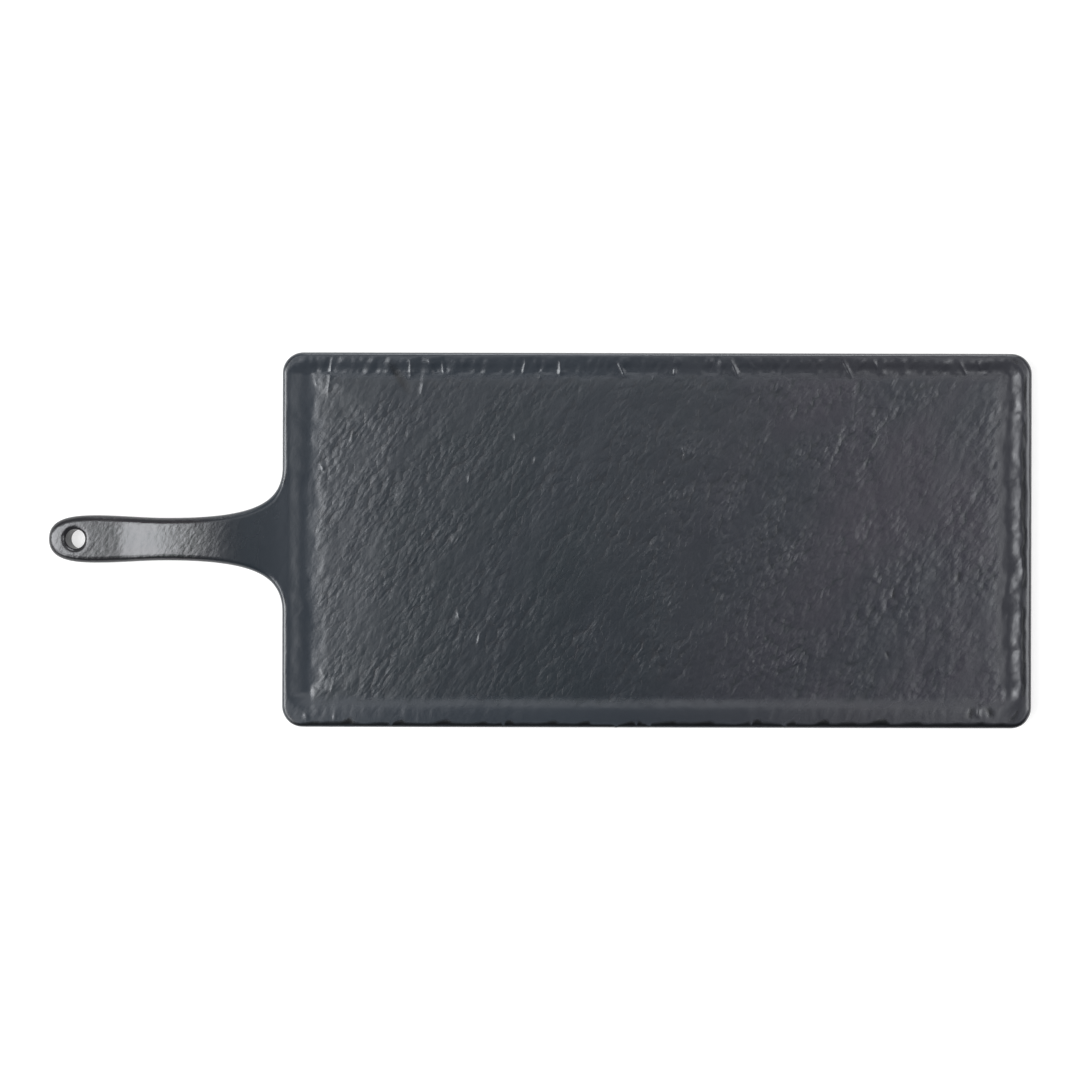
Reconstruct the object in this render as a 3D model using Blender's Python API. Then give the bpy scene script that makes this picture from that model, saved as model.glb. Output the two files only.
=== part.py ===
"""Slate-effect serving paddle: one melamine moulding standing on four push-in silicone feet.

The long way of the paddle is X, with the handle towards -X, and +Z is up. The origin lies on the
surface that the paddle stands on, below the middle of its whole length. All sizes are in metres.
"""

import math

import bmesh
import bpy
import numpy as np
from mathutils import Vector
from mathutils.geometry import interpolate_bezier

# Plan of the board
BOARD_LENGTH = 0.400
BOARD_WIDTH = 0.200
CORNER_RADIUS = 0.0112

# Plan of the handle: a blunt nose, a bulge round the eye, a waist, and a flare into the board's edge
HANDLE_LENGTH = 0.125
NOSE_TO_BULGE = 0.025
BULGE_HALF_WIDTH = 0.0125
WAIST_TO_BOARD = 0.061
WAIST_HALF_WIDTH = 0.0111
FLARE_HALF_WIDTH = 0.0385

# How far each end of a stretch of the handle's outline runs straight on, as a share of the stretch
NOSE_FULLNESS = 0.80
SHOULDER_FULLNESS = 0.57
SIDE_FULLNESS = 0.36
NECK_FULLNESS = 0.67
FLARE_FULLNESS = 0.79

# Section of the board
STAND_HEIGHT = 0.0025
BOARD_THICKNESS = 0.0095
EDGE_ROUND = 0.0026
BASE_ROUND = 0.0012
SIDE_DRAFT = 0.0004

# Rim and juice groove, first for the two ends of the board and then for its two long sides
RIM_LAND_ENDS = 0.0012
RIM_LAND_SIDES = 0.0005
COVE_WIDTH_ENDS = 0.0085
COVE_WIDTH_SIDES = 0.0050
SHOULDER_WIDTH_ENDS = 0.0072
SHOULDER_WIDTH_SIDES = 0.0070
GROOVE_DEPTH = 0.0016
FIELD_DROP = 0.0010
TRAY_CORNER_RADIUS = 0.0080

# Underside: a standing rim round a shallow recess
BASE_RIM_WIDTH = 0.0090
RECESS_DEPTH = 0.0012
RECESS_WALL_RUN = 0.0010
RECESS_CORNER_RADIUS = 0.0080

# Side view of the handle: it arches up from the board and comes down to a level pad round the eye
HANDLE_THICKNESS = 0.0080
ARCH_RISE = 0.0040
ARCH_TO_BOARD = 0.042
PAD_LENGTH = 0.034
ARCH_FULLNESS = 0.60
PAD_FULLNESS = 0.22

# Hanging eye
EYE_RADIUS = 0.0058
EYE_TO_NOSE = 0.0134
EYE_RIM_ROUND = 0.0012

# Feet, and the clearance that they keep to the moulding
SEAT_GAP = 0.0003
FOOT_INSET = 0.030
FOOT_HEAD_RADIUS = 0.0075
FOOT_EDGE_ROUND = 0.0012
FOOT_STEM_RADIUS = 0.0030
FOOT_STEM_LENGTH = 0.0040
FOOT_RIB_COUNT = 2
FOOT_RIB_RISE = 0.0005

# Fineness of the curves
CURVE_STEPS = 8
FLARE_STEPS = 14
CORNER_STEPS = 6
ROUND_STEPS = 4
COVE_STEPS = 4
TURN_STEPS = 28
PROFILE_SAMPLES = 48
RIM_ROUND_REACH = math.radians(70)
CUTTER_OVERRUN = 0.0012
SHARP_ANGLE = math.radians(35)
MERGE_DISTANCE = 1e-6

# Colours, linear, and finishes
SLATE_GREY = (0.055, 0.060, 0.068)
SLATE_ROUGHNESS = 0.45
SILICONE_BLACK = (0.018, 0.018, 0.020)
SILICONE_ROUGHNESS = 0.70

# Places that follow from the sizes
BOARD_MIDDLE_X = HANDLE_LENGTH / 2
BOARD_NEAR_X = BOARD_MIDDLE_X - BOARD_LENGTH / 2
NOSE_X = BOARD_NEAR_X - HANDLE_LENGTH
RIM_TOP = STAND_HEIGHT + BOARD_THICKNESS
RECESS_FLOOR = STAND_HEIGHT + RECESS_DEPTH
SOCKET_RADIUS = FOOT_STEM_RADIUS + SEAT_GAP


def clear_scene():
    for old in list(bpy.data.objects):
        bpy.data.objects.remove(old)


def make_material(name, colour, roughness):
    material = bpy.data.materials.new(name)
    material.use_nodes = True
    shader = material.node_tree.nodes["Principled BSDF"]
    shader.inputs["Base Color"].default_value = (*colour, 1.0)
    shader.inputs["Roughness"].default_value = roughness
    shader.inputs["Metallic"].default_value = 0.0
    material.diffuse_color = (*colour, 1.0)
    return material


def add_object(name, bm, material=None):
    """Turns a closed bmesh into a named, smooth-shaded object."""
    bmesh.ops.recalc_face_normals(bm, faces=bm.faces)
    mesh = bpy.data.meshes.new(name)
    bm.to_mesh(mesh)
    bm.free()
    mesh.shade_smooth()
    mesh.set_sharp_from_angle(angle=SHARP_ANGLE)
    if material:
        mesh.materials.append(material)
    obj = bpy.data.objects.new(name, mesh)
    bpy.context.scene.collection.objects.link(obj)
    return obj


def stretch(start, start_lead, end_lead, end, steps):
    """Points of one smooth stretch, leaving out its first point."""
    return [Vector(p) for p in interpolate_bezier(start, start_lead, end_lead, end, steps + 1)][1:]


def arc(centre, radius, first, last, steps):
    angles = [first + (last - first) * i / steps for i in range(steps + 1)]
    return [Vector((centre[0] + radius * math.cos(a), centre[1] + radius * math.sin(a))) for a in angles]


def handle_side():
    """The +Y side of the handle from the nose to the board's near edge, in plan."""
    nose = Vector((NOSE_X, 0))
    bulge = Vector((NOSE_X + NOSE_TO_BULGE, BULGE_HALF_WIDTH))
    waist = Vector((BOARD_NEAR_X - WAIST_TO_BOARD, WAIST_HALF_WIDTH))
    flare = Vector((BOARD_NEAR_X, FLARE_HALF_WIDTH))
    along = Vector((1, 0))
    across = Vector((0, 1))
    side_lead = along * SIDE_FULLNESS * (waist.x - bulge.x)
    points = [nose]
    points += stretch(
        nose,
        nose + across * NOSE_FULLNESS * BULGE_HALF_WIDTH,
        bulge - along * SHOULDER_FULLNESS * NOSE_TO_BULGE,
        bulge,
        CURVE_STEPS,
    )
    points += stretch(bulge, bulge + side_lead, waist - side_lead, waist, CURVE_STEPS)
    points += stretch(
        waist,
        waist + along * NECK_FULLNESS * WAIST_TO_BOARD,
        flare - across * FLARE_FULLNESS * (FLARE_HALF_WIDTH - WAIST_HALF_WIDTH),
        flare,
        FLARE_STEPS,
    )
    return points


def board_corners():
    """The +Y side of the board's outline, from its near corner to its far corner, in plan."""
    inner_y = BOARD_WIDTH / 2 - CORNER_RADIUS
    reach = BOARD_LENGTH / 2 - CORNER_RADIUS
    near = arc((BOARD_MIDDLE_X - reach, inner_y), CORNER_RADIUS, math.pi, math.pi / 2, CORNER_STEPS)
    far = arc((BOARD_MIDDLE_X + reach, inner_y), CORNER_RADIUS, math.pi / 2, 0, CORNER_STEPS)
    return near + far


def mirrored_loop(side):
    """A closed outline, anticlockwise from above, of a +Y side that starts on the middle line."""
    lower = [Vector((p.x, -p.y)) for p in side[1:]]
    return [side[0]] + lower + side[:0:-1]


def inset(loop, distance):
    """The outline moved inwards by one distance all round."""
    moved = []
    for before, here, after in zip(loop[-1:] + loop[:-1], loop, loop[1:] + loop[:1]):
        normals = [(b - a).normalized() for a, b in ((before, here), (here, after))]
        normals = [Vector((-edge.y, edge.x)) for edge in normals]
        middle = (normals[0] + normals[1]).normalized()
        moved.append(here + middle * (distance / middle.dot(normals[0])))
    return moved


def rounded_rectangle(inset_ends, inset_sides, radius):
    """A loop inside the board, held off its ends and its long sides."""
    reach = BOARD_LENGTH / 2 - inset_ends - radius
    inner_y = BOARD_WIDTH / 2 - inset_sides - radius
    loop = []
    for quarter, (sign_x, sign_y) in enumerate(((-1, -1), (1, -1), (1, 1), (-1, 1))):
        centre = (BOARD_MIDDLE_X + sign_x * reach, sign_y * inner_y)
        first = math.pi + quarter * math.pi / 2
        loop += arc(centre, radius, first, first + math.pi / 2, CORNER_STEPS)
    return loop


def handle_rise_curve():
    """Distances from the board and heights over the rim along the top of the handle, as two lists."""
    root = Vector((0, 0))
    crest = Vector((ARCH_TO_BOARD, ARCH_RISE))
    pad = Vector((HANDLE_LENGTH - PAD_LENGTH, 0))
    along = Vector((1, 0))
    half_rise = along * ARCH_TO_BOARD / 2
    fall = pad.x - crest.x
    points = [root]
    points += stretch(root, root + half_rise, crest - half_rise, crest, PROFILE_SAMPLES)
    points += stretch(
        crest,
        crest + along * ARCH_FULLNESS * fall,
        pad - along * PAD_FULLNESS * fall,
        pad,
        PROFILE_SAMPLES,
    )
    return [p.x for p in points], [p.y for p in points]


RISE_DISTANCES, RISE_HEIGHTS = handle_rise_curve()


def top_height(x):
    """Height of the rim, and of the handle's top, at a place along the paddle."""
    return RIM_TOP + float(np.interp(BOARD_NEAR_X - x, RISE_DISTANCES, RISE_HEIGHTS))


def base_height(x):
    """Height of the underside: level below the board, and up to the handle's thickness along the neck."""
    share = min(max((BOARD_NEAR_X - x) / ARCH_TO_BOARD, 0.0), 1.0)
    eased = share * share * (3 - 2 * share)
    return top_height(x) - BOARD_THICKNESS + (BOARD_THICKNESS - HANDLE_THICKNESS) * eased


def add_loop(bm, plan, height):
    """Vertices of a plan loop. The height is a number, or a function of x."""
    return [bm.verts.new((p.x, p.y, height(p.x) if callable(height) else height)) for p in plan]


def add_band(bm, outer, inner):
    """Quads between two loops that have as many points."""
    for i in range(len(outer)):
        j = (i + 1) % len(outer)
        bm.faces.new((outer[i], outer[j], inner[j], inner[i]))


def add_bands(bm, loops):
    for outer, inner in zip(loops, loops[1:]):
        add_band(bm, outer, inner)


def close_handle(bm, loop, root):
    """Closes the handle's part of a loop with strips that run across it, from the nose to its root."""
    count = len(loop)
    bm.faces.new((loop[0], loop[1], loop[-1]))
    for i in range(1, root):
        bm.faces.new((loop[i], loop[i + 1], loop[count - i - 1], loop[count - i]))


def fill_board(bm, loop, root, inner):
    """Fills the level ring between the board's part of a loop and a loop inside it."""
    board = loop[root : len(loop) - root + 1]
    edges = [bm.edges.get(pair) or bm.edges.new(pair) for pair in zip(board, board[1:] + board[:1])]
    edges += [bm.edges.get(pair) or bm.edges.new(pair) for pair in zip(inner, inner[1:] + inner[:1])]
    bmesh.ops.triangle_fill(bm, use_beauty=True, edges=edges)


def outer_bands(bm, outline):
    """The wall of the whole paddle, from its base up over the rounded edge to the rim."""
    loops = []
    for i in range(ROUND_STEPS + 1):
        turn = math.pi / 2 * i / ROUND_STEPS
        inwards = SIDE_DRAFT + BASE_ROUND * (1 - math.sin(turn))
        lift = BASE_ROUND * (1 - math.cos(turn))
        loops.append(add_loop(bm, inset(outline, inwards), lambda x, up=lift: base_height(x) + up))
    for i in range(ROUND_STEPS + 1):
        turn = math.pi / 2 * i / ROUND_STEPS
        inwards = EDGE_ROUND * (1 - math.cos(turn))
        drop = EDGE_ROUND * (1 - math.sin(turn))
        loops.append(add_loop(bm, inset(outline, inwards), lambda x, down=drop: top_height(x) - down))
    add_bands(bm, loops)
    return loops[0], loops[-1]


def tray_loops(bm):
    """The inside of the rim: the cove down to the juice groove, and the shoulder up to the field."""
    rim_ends = EDGE_ROUND + RIM_LAND_ENDS
    rim_sides = EDGE_ROUND + RIM_LAND_SIDES
    loops = []
    for i in range(COVE_STEPS + 1):
        share = i / COVE_STEPS
        plan = rounded_rectangle(
            rim_ends + COVE_WIDTH_ENDS * share,
            rim_sides + COVE_WIDTH_SIDES * share,
            TRAY_CORNER_RADIUS,
        )
        drop = GROOVE_DEPTH * (1 - math.cos(math.pi * share)) / 2
        loops.append(add_loop(bm, plan, RIM_TOP - drop))
    for i in range(1, COVE_STEPS + 1):
        share = i / COVE_STEPS
        plan = rounded_rectangle(
            rim_ends + COVE_WIDTH_ENDS + SHOULDER_WIDTH_ENDS * share,
            rim_sides + COVE_WIDTH_SIDES + SHOULDER_WIDTH_SIDES * share,
            TRAY_CORNER_RADIUS,
        )
        lift = (GROOVE_DEPTH - FIELD_DROP) * (1 - math.cos(math.pi * share)) / 2
        loops.append(add_loop(bm, plan, RIM_TOP - GROOVE_DEPTH + lift))
    add_bands(bm, loops)
    bm.faces.new(loops[-1])
    return loops[0]


def recess_loops(bm):
    """The shallow recess under the board, inside the rim that the feet stand in."""
    deep = BASE_RIM_WIDTH + RECESS_WALL_RUN
    mouth = rounded_rectangle(BASE_RIM_WIDTH, BASE_RIM_WIDTH, RECESS_CORNER_RADIUS)
    floor = rounded_rectangle(deep, deep, RECESS_CORNER_RADIUS)
    mouth = add_loop(bm, mouth, STAND_HEIGHT)
    floor = add_loop(bm, floor, RECESS_FLOOR)
    add_band(bm, floor, mouth)
    bm.faces.new(floor[::-1])
    return mouth


def turned(bm, profile, place=(0, 0)):
    """Turns a profile of radii and heights about a vertical line, as one closed body."""
    points = [bm.verts.new((place[0] + radius, place[1], height)) for radius, height in profile]
    edges = [bm.edges.new(pair) for pair in zip(points, points[1:])]
    bmesh.ops.spin(
        bm,
        geom=points + edges,
        cent=(*place, 0),
        axis=(0, 0, 1),
        angle=2 * math.pi,
        steps=TURN_STEPS,
        use_merge=True,
    )
    bmesh.ops.remove_doubles(bm, verts=bm.verts, dist=MERGE_DISTANCE)


def add_cutter(name, bm, target):
    cutter = add_object(name, bm)
    cutter.hide_render = True
    cutter.display_type = "WIRE"
    cut = target.modifiers.new(name, "BOOLEAN")
    cut.operation = "DIFFERENCE"
    cut.solver = "EXACT"
    cut.object = cutter
    return cutter


def eye_profile(top, base):
    """The hanging eye: a plain hole whose two rims are rounded."""
    upper = []
    lower = []
    reach_out = EYE_RIM_ROUND * (1 - math.cos(RIM_ROUND_REACH)) + CUTTER_OVERRUN * math.tan(RIM_ROUND_REACH)
    shortfall = EYE_RIM_ROUND * (1 - math.sin(RIM_ROUND_REACH))
    for i in range(ROUND_STEPS + 1):
        turn = RIM_ROUND_REACH * i / ROUND_STEPS
        radius = EYE_RADIUS + EYE_RIM_ROUND * (1 - math.cos(turn))
        depth = EYE_RIM_ROUND * (1 - math.sin(turn))
        upper.insert(0, (radius, top - depth))
        lower.append((radius, base + depth))
    mouth = CUTTER_OVERRUN - shortfall
    upper = [(0, top + mouth), (EYE_RADIUS + reach_out, top + mouth)] + upper
    lower = lower + [(EYE_RADIUS + reach_out, base - mouth), (0, base - mouth)]
    return upper + lower


def foot_places():
    """Where the four feet stand, by name."""
    reach_x = BOARD_LENGTH / 2 - FOOT_INSET
    reach_y = BOARD_WIDTH / 2 - FOOT_INSET
    return {
        f"foot_{end}_{side}": (BOARD_MIDDLE_X + sign_x * reach_x, sign_y * reach_y)
        for end, sign_x in (("handle", -1), ("far", 1))
        for side, sign_y in (("left", 1), ("right", -1))
    }


def foot_profile():
    """A foot from the top of its ribbed stem down to the flat that it stands on."""
    seat = RECESS_FLOOR - SEAT_GAP
    top = seat + FOOT_STEM_LENGTH
    core = FOOT_STEM_RADIUS - FOOT_RIB_RISE
    pitch = FOOT_STEM_LENGTH / (FOOT_RIB_COUNT + 1)
    profile = [(0, top), (core, top)]
    for i in range(FOOT_RIB_COUNT):
        middle = top - pitch * (i + 1)
        profile += [
            (core, middle + FOOT_RIB_RISE),
            (FOOT_STEM_RADIUS, middle),
            (core, middle - FOOT_RIB_RISE),
        ]
    profile += [(core, seat), (FOOT_HEAD_RADIUS, seat)]
    for i in range(ROUND_STEPS + 1):
        turn = math.pi / 2 * i / ROUND_STEPS
        profile.append(
            (
                FOOT_HEAD_RADIUS - FOOT_EDGE_ROUND * (1 - math.cos(turn)),
                FOOT_EDGE_ROUND * (1 - math.sin(turn)),
            )
        )
    profile.append((0, 0))
    return profile


def build_moulding(material):
    """Board, rim, groove, field, handle and eye in one shot, with the sockets for the feet."""
    bm = bmesh.new()
    side = handle_side()
    root = len(side) - 1
    outline = mirrored_loop(side + board_corners())
    base, rim = outer_bands(bm, outline)
    close_handle(bm, rim, root)
    close_handle(bm, base[:1] + base[:0:-1], root)
    fill_board(bm, rim, root, tray_loops(bm))
    fill_board(bm, base, root, recess_loops(bm))
    moulding = add_object("paddle_moulding", bm, material)

    eye = bmesh.new()
    eye_x = NOSE_X + EYE_TO_NOSE
    turned(eye, eye_profile(top_height(eye_x), base_height(eye_x)), (eye_x, 0))
    cutters = [add_cutter("eye_cutter", eye, moulding)]

    sockets = bmesh.new()
    socket_top = RECESS_FLOOR + FOOT_STEM_LENGTH
    mouth = RECESS_FLOOR - CUTTER_OVERRUN
    socket = [(0, socket_top), (SOCKET_RADIUS, socket_top), (SOCKET_RADIUS, mouth), (0, mouth)]
    for place in foot_places().values():
        turned(sockets, socket, place)
    cutters.append(add_cutter("socket_cutter", sockets, moulding))
    return [moulding, *cutters]


def build_feet(material):
    feet = []
    for name, place in foot_places().items():
        bm = bmesh.new()
        turned(bm, foot_profile())
        foot = add_object(name, bm, material)
        foot.location = (*place, 0)
        feet.append(foot)
    return feet


def main():
    clear_scene()
    melamine = make_material("slate_melamine", SLATE_GREY, SLATE_ROUGHNESS)
    silicone = make_material("black_silicone", SILICONE_BLACK, SILICONE_ROUGHNESS)
    whole = bpy.data.objects.new("serving_paddle", None)
    bpy.context.scene.collection.objects.link(whole)
    for piece in build_moulding(melamine) + build_feet(silicone):
        piece.parent = whole


main()
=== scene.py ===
"""Slate-effect serving paddle: the looks of its moulding and feet, built round the packed model.

The file is laid out as an add-on and run as a script. Sizes are in metres, in the model's own frame:
+X runs from the handle to the board, +Y across the board, and +Z up from the surface that it stands on.
"""

import math
from collections import namedtuple

import bpy
import numpy as np
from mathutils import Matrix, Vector
from mathutils.geometry import delaunay_2d_cdt
from mathutils.kdtree import KDTree


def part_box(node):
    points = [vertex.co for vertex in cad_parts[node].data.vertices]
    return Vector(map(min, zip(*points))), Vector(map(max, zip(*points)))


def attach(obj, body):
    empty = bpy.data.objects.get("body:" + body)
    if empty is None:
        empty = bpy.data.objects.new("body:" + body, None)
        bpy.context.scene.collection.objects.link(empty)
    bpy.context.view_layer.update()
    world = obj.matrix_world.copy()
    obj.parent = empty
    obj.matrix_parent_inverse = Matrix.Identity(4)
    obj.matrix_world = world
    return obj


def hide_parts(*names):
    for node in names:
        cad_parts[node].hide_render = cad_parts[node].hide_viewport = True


bl_info = {
    "name": "Slate-effect serving paddle",
    "version": (1, 0, 0),
    "blender": (4, 5, 0),
    "location": "View3D > Sidebar > Paddle",
    "description": "Makes the riven slate moulding, its silicone feet and a plain studio stage",
    "category": "Add Mesh",
}

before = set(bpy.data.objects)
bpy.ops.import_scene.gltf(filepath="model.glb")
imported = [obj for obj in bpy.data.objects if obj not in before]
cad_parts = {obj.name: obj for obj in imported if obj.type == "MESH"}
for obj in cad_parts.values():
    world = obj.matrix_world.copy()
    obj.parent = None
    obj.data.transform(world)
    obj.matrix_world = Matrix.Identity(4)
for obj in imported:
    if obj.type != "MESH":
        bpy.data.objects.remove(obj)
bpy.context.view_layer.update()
MOULDING_LOW, MOULDING_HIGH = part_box("paddle_moulding")
FOOT_NODES = ("foot_handle_left", "foot_handle_right", "foot_far_left", "foot_far_right")
FOOT_LOW, FOOT_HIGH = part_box(FOOT_NODES[0])
MM = 0.001

# A fold or a chip in the slate: where its middle lies, in millimetres from the board's handle end and
# from its middle line, its length, its lean from straight across the board in degrees (positive leans
# to the far end), the width of its steep face, and its rise in millimetres, negative for a chip
Fold = namedtuple("Fold", "from_end off_middle length lean width rise")

FOLDS = (
    Fold(25.2, 87.0, 21.0, 7, 0.6, 0.24),
    Fold(68.3, 91.0, 10.0, 2, 0.9, 0.26),
    Fold(74.8, 83.0, 12.0, 10, 1.0, 0.30),
    Fold(62.0, 86.0, 22.0, -35, 2.0, -0.14),
    Fold(79.0, 94.0, 4.0, -35, 0.8, 0.22),
    Fold(85.6, 92.0, 9.0, -5, 0.8, 0.20),
    Fold(129.0, 92.5, 8.0, 13, 0.9, 0.26),
    Fold(137.5, 88.0, 5.0, 18, 0.9, 0.30),
    Fold(147.8, 91.5, 9.5, -1, 0.7, 0.22),
    Fold(180.5, 91.5, 11.5, -26, 0.8, 0.28),
    Fold(198.0, 87.0, 4.5, 20, 0.9, 0.24),
    Fold(209.0, 90.0, 5.0, 8, 0.7, 0.20),
    Fold(241.0, 91.5, 12.0, -28, 0.9, 0.30),
    Fold(250.0, 93.0, 6.0, -38, 0.8, 0.20),
    Fold(301.0, 91.5, 12.5, -28, 0.9, 0.32),
    Fold(316.0, 93.5, 6.0, -30, 0.8, 0.24),
    Fold(325.5, 86.0, 9.0, 24, 0.9, 0.24),
    Fold(362.5, 92.0, 10.0, -30, 0.8, 0.22),
    Fold(371.0, 93.5, 6.0, -25, 0.8, 0.14),
    Fold(373.7, 82.7, 8.0, 20, 0.8, 0.20),
    Fold(338.5, 70.6, 6.0, 24, 0.8, 0.18),
    Fold(314.1, 42.8, 5.0, 24, 0.8, 0.18),
    Fold(17.8, 83.5, 5.0, -15, 0.6, 0.08),
    Fold(21.4, 38.0, 5.6, -20, 0.8, 0.24),
    Fold(37.0, 55.0, 7.4, 12, 0.7, 0.18),
    Fold(99.6, 32.7, 5.8, 12, 0.8, 0.20),
    Fold(124.0, 55.0, 4.5, -8, 0.7, 0.18),
    Fold(134.8, 42.6, 4.0, 14, 0.7, 0.20),
    Fold(214.0, 48.0, 6.5, -14, 0.7, 0.18),
    Fold(9.5, 68.5, 9.0, 50, 1.6, 0.05),
    Fold(10.5, 64.5, 8.0, 50, 1.6, 0.04),
    Fold(13.0, -94.4, 4.0, -25, 1.0, 0.20),
    Fold(28.0, -94.6, 3.5, 5, 0.8, 0.14),
    Fold(27.0, -78.0, 8.0, 16, 0.6, 0.17),
    Fold(21.5, -71.0, 6.0, -28, 0.6, 0.14),
    Fold(94.0, -40.0, 4.5, -12, 0.7, 0.22),
    Fold(105.0, -52.8, 6.0, 14, 0.8, 0.22),
    Fold(333.6, -47.7, 5.0, 22, 0.8, 0.20),
    Fold(299.0, -57.3, 8.0, 18, 0.7, 0.16),
    Fold(315.0, -77.0, 4.0, -6, 0.8, 0.22),
    Fold(350.2, -68.5, 4.6, 6, 0.7, 0.20),
    Fold(371.2, -91.0, 8.0, 3, 1.0, 0.34),
    Fold(366.5, -91.5, 7.0, 22, 1.6, -0.22),
    Fold(376.5, -91.5, 7.0, -24, 1.6, -0.22),
    Fold(360.3, -19.0, 6.0, 20, 1.0, -0.16),
    Fold(326.0, -28.6, 6.0, 12, 1.0, -0.16),
    Fold(322.7, -61.0, 4.5, -22, 0.9, -0.16),
)


def length(name, description, default):
    return bpy.props.FloatProperty(
        name=name, description=description, default=default, unit="LENGTH", precision=5
    )


def sides(name, description, default):
    """A length at each edge of the board: the handle end, the far end, the upper and the lower side."""
    return bpy.props.FloatVectorProperty(
        name=name, description=description, default=default, size=4, unit="LENGTH", precision=5
    )


def share(name, description, default):
    return bpy.props.FloatProperty(
        name=name, description=description, default=default, min=0.0, max=1.0, subtype="FACTOR"
    )


def angle(name, description, degrees):
    return bpy.props.FloatProperty(
        name=name, description=description, default=math.radians(degrees), subtype="ANGLE"
    )


def number(name, description, default):
    return bpy.props.FloatProperty(name=name, description=description, default=default)


def whole(name, description, default):
    return bpy.props.IntProperty(name=name, description=description, default=default)


def colour(name, description, default):
    return bpy.props.FloatVectorProperty(
        name=name, description=description, default=default, size=3, min=0.0, max=1.0, subtype="COLOR"
    )


class PaddleSizes(bpy.types.PropertyGroup):
    """Sizes of the moulding and its feet"""

    board_length: length("Board length", "From the handle end of the board to its far end", 0.400)
    corner_radius: length("Corner radius", "Round of the board's four corners in plan", 0.0112)
    nose_to_bulge: length("Nose to bulge", "From the handle's nose to its widest place", 0.025)
    bulge_half_width: length("Bulge half width", "Half the handle's width round the eye", 0.0127)
    waist_to_board: length("Waist to board", "From the handle's narrowest place to the board", 0.061)
    waist_half_width: length("Waist half width", "Half the handle's least width", 0.01135)
    flare_half_width: length("Flare half width", "Half the width where the neck meets the board", 0.0385)
    nose_fullness: share("Nose fullness", "How squarely the nose starts", 0.84)
    shoulder_fullness: share("Shoulder fullness", "How long the bulge runs straight to the nose", 0.57)
    side_fullness: share("Side fullness", "How long the bulge and the waist run straight", 0.36)
    neck_fullness: share("Neck fullness", "How long the waist runs straight to the flare", 0.67)
    flare_fullness: share("Flare fullness", "How long the flare runs along the board's edge", 0.79)
    board_thickness: length("Board thickness", "From the standing rim to the top of the rim", 0.0095)
    edge_round: length("Edge round", "Width of the upper edge's round", 0.0021)
    edge_drop: length("Edge drop", "Height of the upper edge's round on the board", 0.0032)
    handle_edge_round: length("Handle edge round", "Round of the handle's upper edge", 0.0035)
    front_edge_round: length("Front edge round", "Width of the round along the lower side", 0.0038)
    front_edge_drop: length("Front edge drop", "Height of the round along the lower side", 0.0020)
    far_edge_round: length("Far edge round", "Width of the round along the far end", 0.0033)
    far_lip: length("Far lip", "How far the far rim stands above the others", 0.00046)
    far_lip_reach: length("Far lip reach", "Where that rise starts, from the far end", 0.0135)
    nose_droop: length("Nose droop", "How far the handle's top falls to its nose", 0.0009)
    nose_droop_reach: length("Nose droop reach", "Where that fall starts, from the nose", 0.0215)
    base_round: length("Base round", "Round of the lower edge", 0.0012)
    side_draft: length("Side draft", "How far the wall leans in at its foot", 0.0004)
    rim_land: sides("Rim land", "Level top of the rim", (0.0010, 0.0021, 0.0011, 0.0003))
    cove: sides("Cove", "Width of the slope down into the groove", (0.0130, 0.0090, 0.0078, 0.0125))
    groove: sides("Groove", "Level bottom of the groove", (0.0004, 0.0008, 0.0006, 0.0030))
    shoulder: sides("Shoulder", "Width of the slope up to the field", (0.0080, 0.0097, 0.0065, 0.0030))
    groove_depth: length("Groove depth", "Depth of the juice groove below the rim", 0.00148)
    groove_deeper: length("Groove deeper", "How much deeper the groove is at the handle end", 0.00048)
    field_drop: length("Field drop", "Depth of the field below the rim", 0.00122)
    base_rim_width: length("Base rim width", "Width of the standing rim under the board", 0.0090)
    recess_depth: length("Recess depth", "Depth of the recess under the board", 0.0012)
    recess_wall_run: length("Recess wall run", "Width of the recess's sloping wall", 0.0010)
    recess_corner_radius: length("Recess corner radius", "Round of the recess's corners", 0.0080)
    handle_thickness: length("Handle thickness", "Thickness of the handle", 0.0080)
    arch_to_board: length("Arch to board", "From the handle's crest to the board", 0.0393)
    root_reach: length("Root reach", "How far the handle's foot runs out from the board", 0.0120)
    root_rise: length("Root rise", "How much the handle's foot climbs over that reach", 0.0008)
    root_run: length("Root run", "How far the handle's slope runs on across the rim", 0.0036)
    root_fall: length("Root fall", "How much the rim falls over that run", 0.0003)
    pad_length: length("Pad length", "Length of the level pad round the eye", 0.0365)
    arch_fullness: share("Arch fullness", "How long the crest of the handle runs level", 0.60)
    pad_fullness: share("Pad fullness", "How long the pad runs level towards the crest", 0.22)
    eye_radius: length("Eye radius", "Radius of the hanging eye", 0.0051)
    eye_to_nose: length("Eye to nose", "From the nose to the middle of the eye", 0.0147)
    eye_lean: length("Eye lean", "How far the eye's lower end lies towards the board", 0.0018)
    eye_rim_round: length("Eye rim round", "Round of the eye's upper rim", 0.0024)
    eye_base_round: length("Eye base round", "Round of the eye's lower rim", 0.0008)
    foot_edge_round: length("Foot edge round", "Round of a foot's lower edge", 0.0012)
    foot_stem_radius: length("Foot stem radius", "Radius of a foot's ribbed stem", 0.0030)
    foot_stem_length: length("Foot stem length", "Length of a foot's stem", 0.0040)
    foot_rib_rise: length("Foot rib rise", "How far a rib stands out of the stem", 0.0005)
    foot_rib_count: whole("Foot ribs", "Ribs on a stem", 2)
    seat_gap: length("Seat gap", "Clearance between a foot and the moulding", 0.0003)


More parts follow.
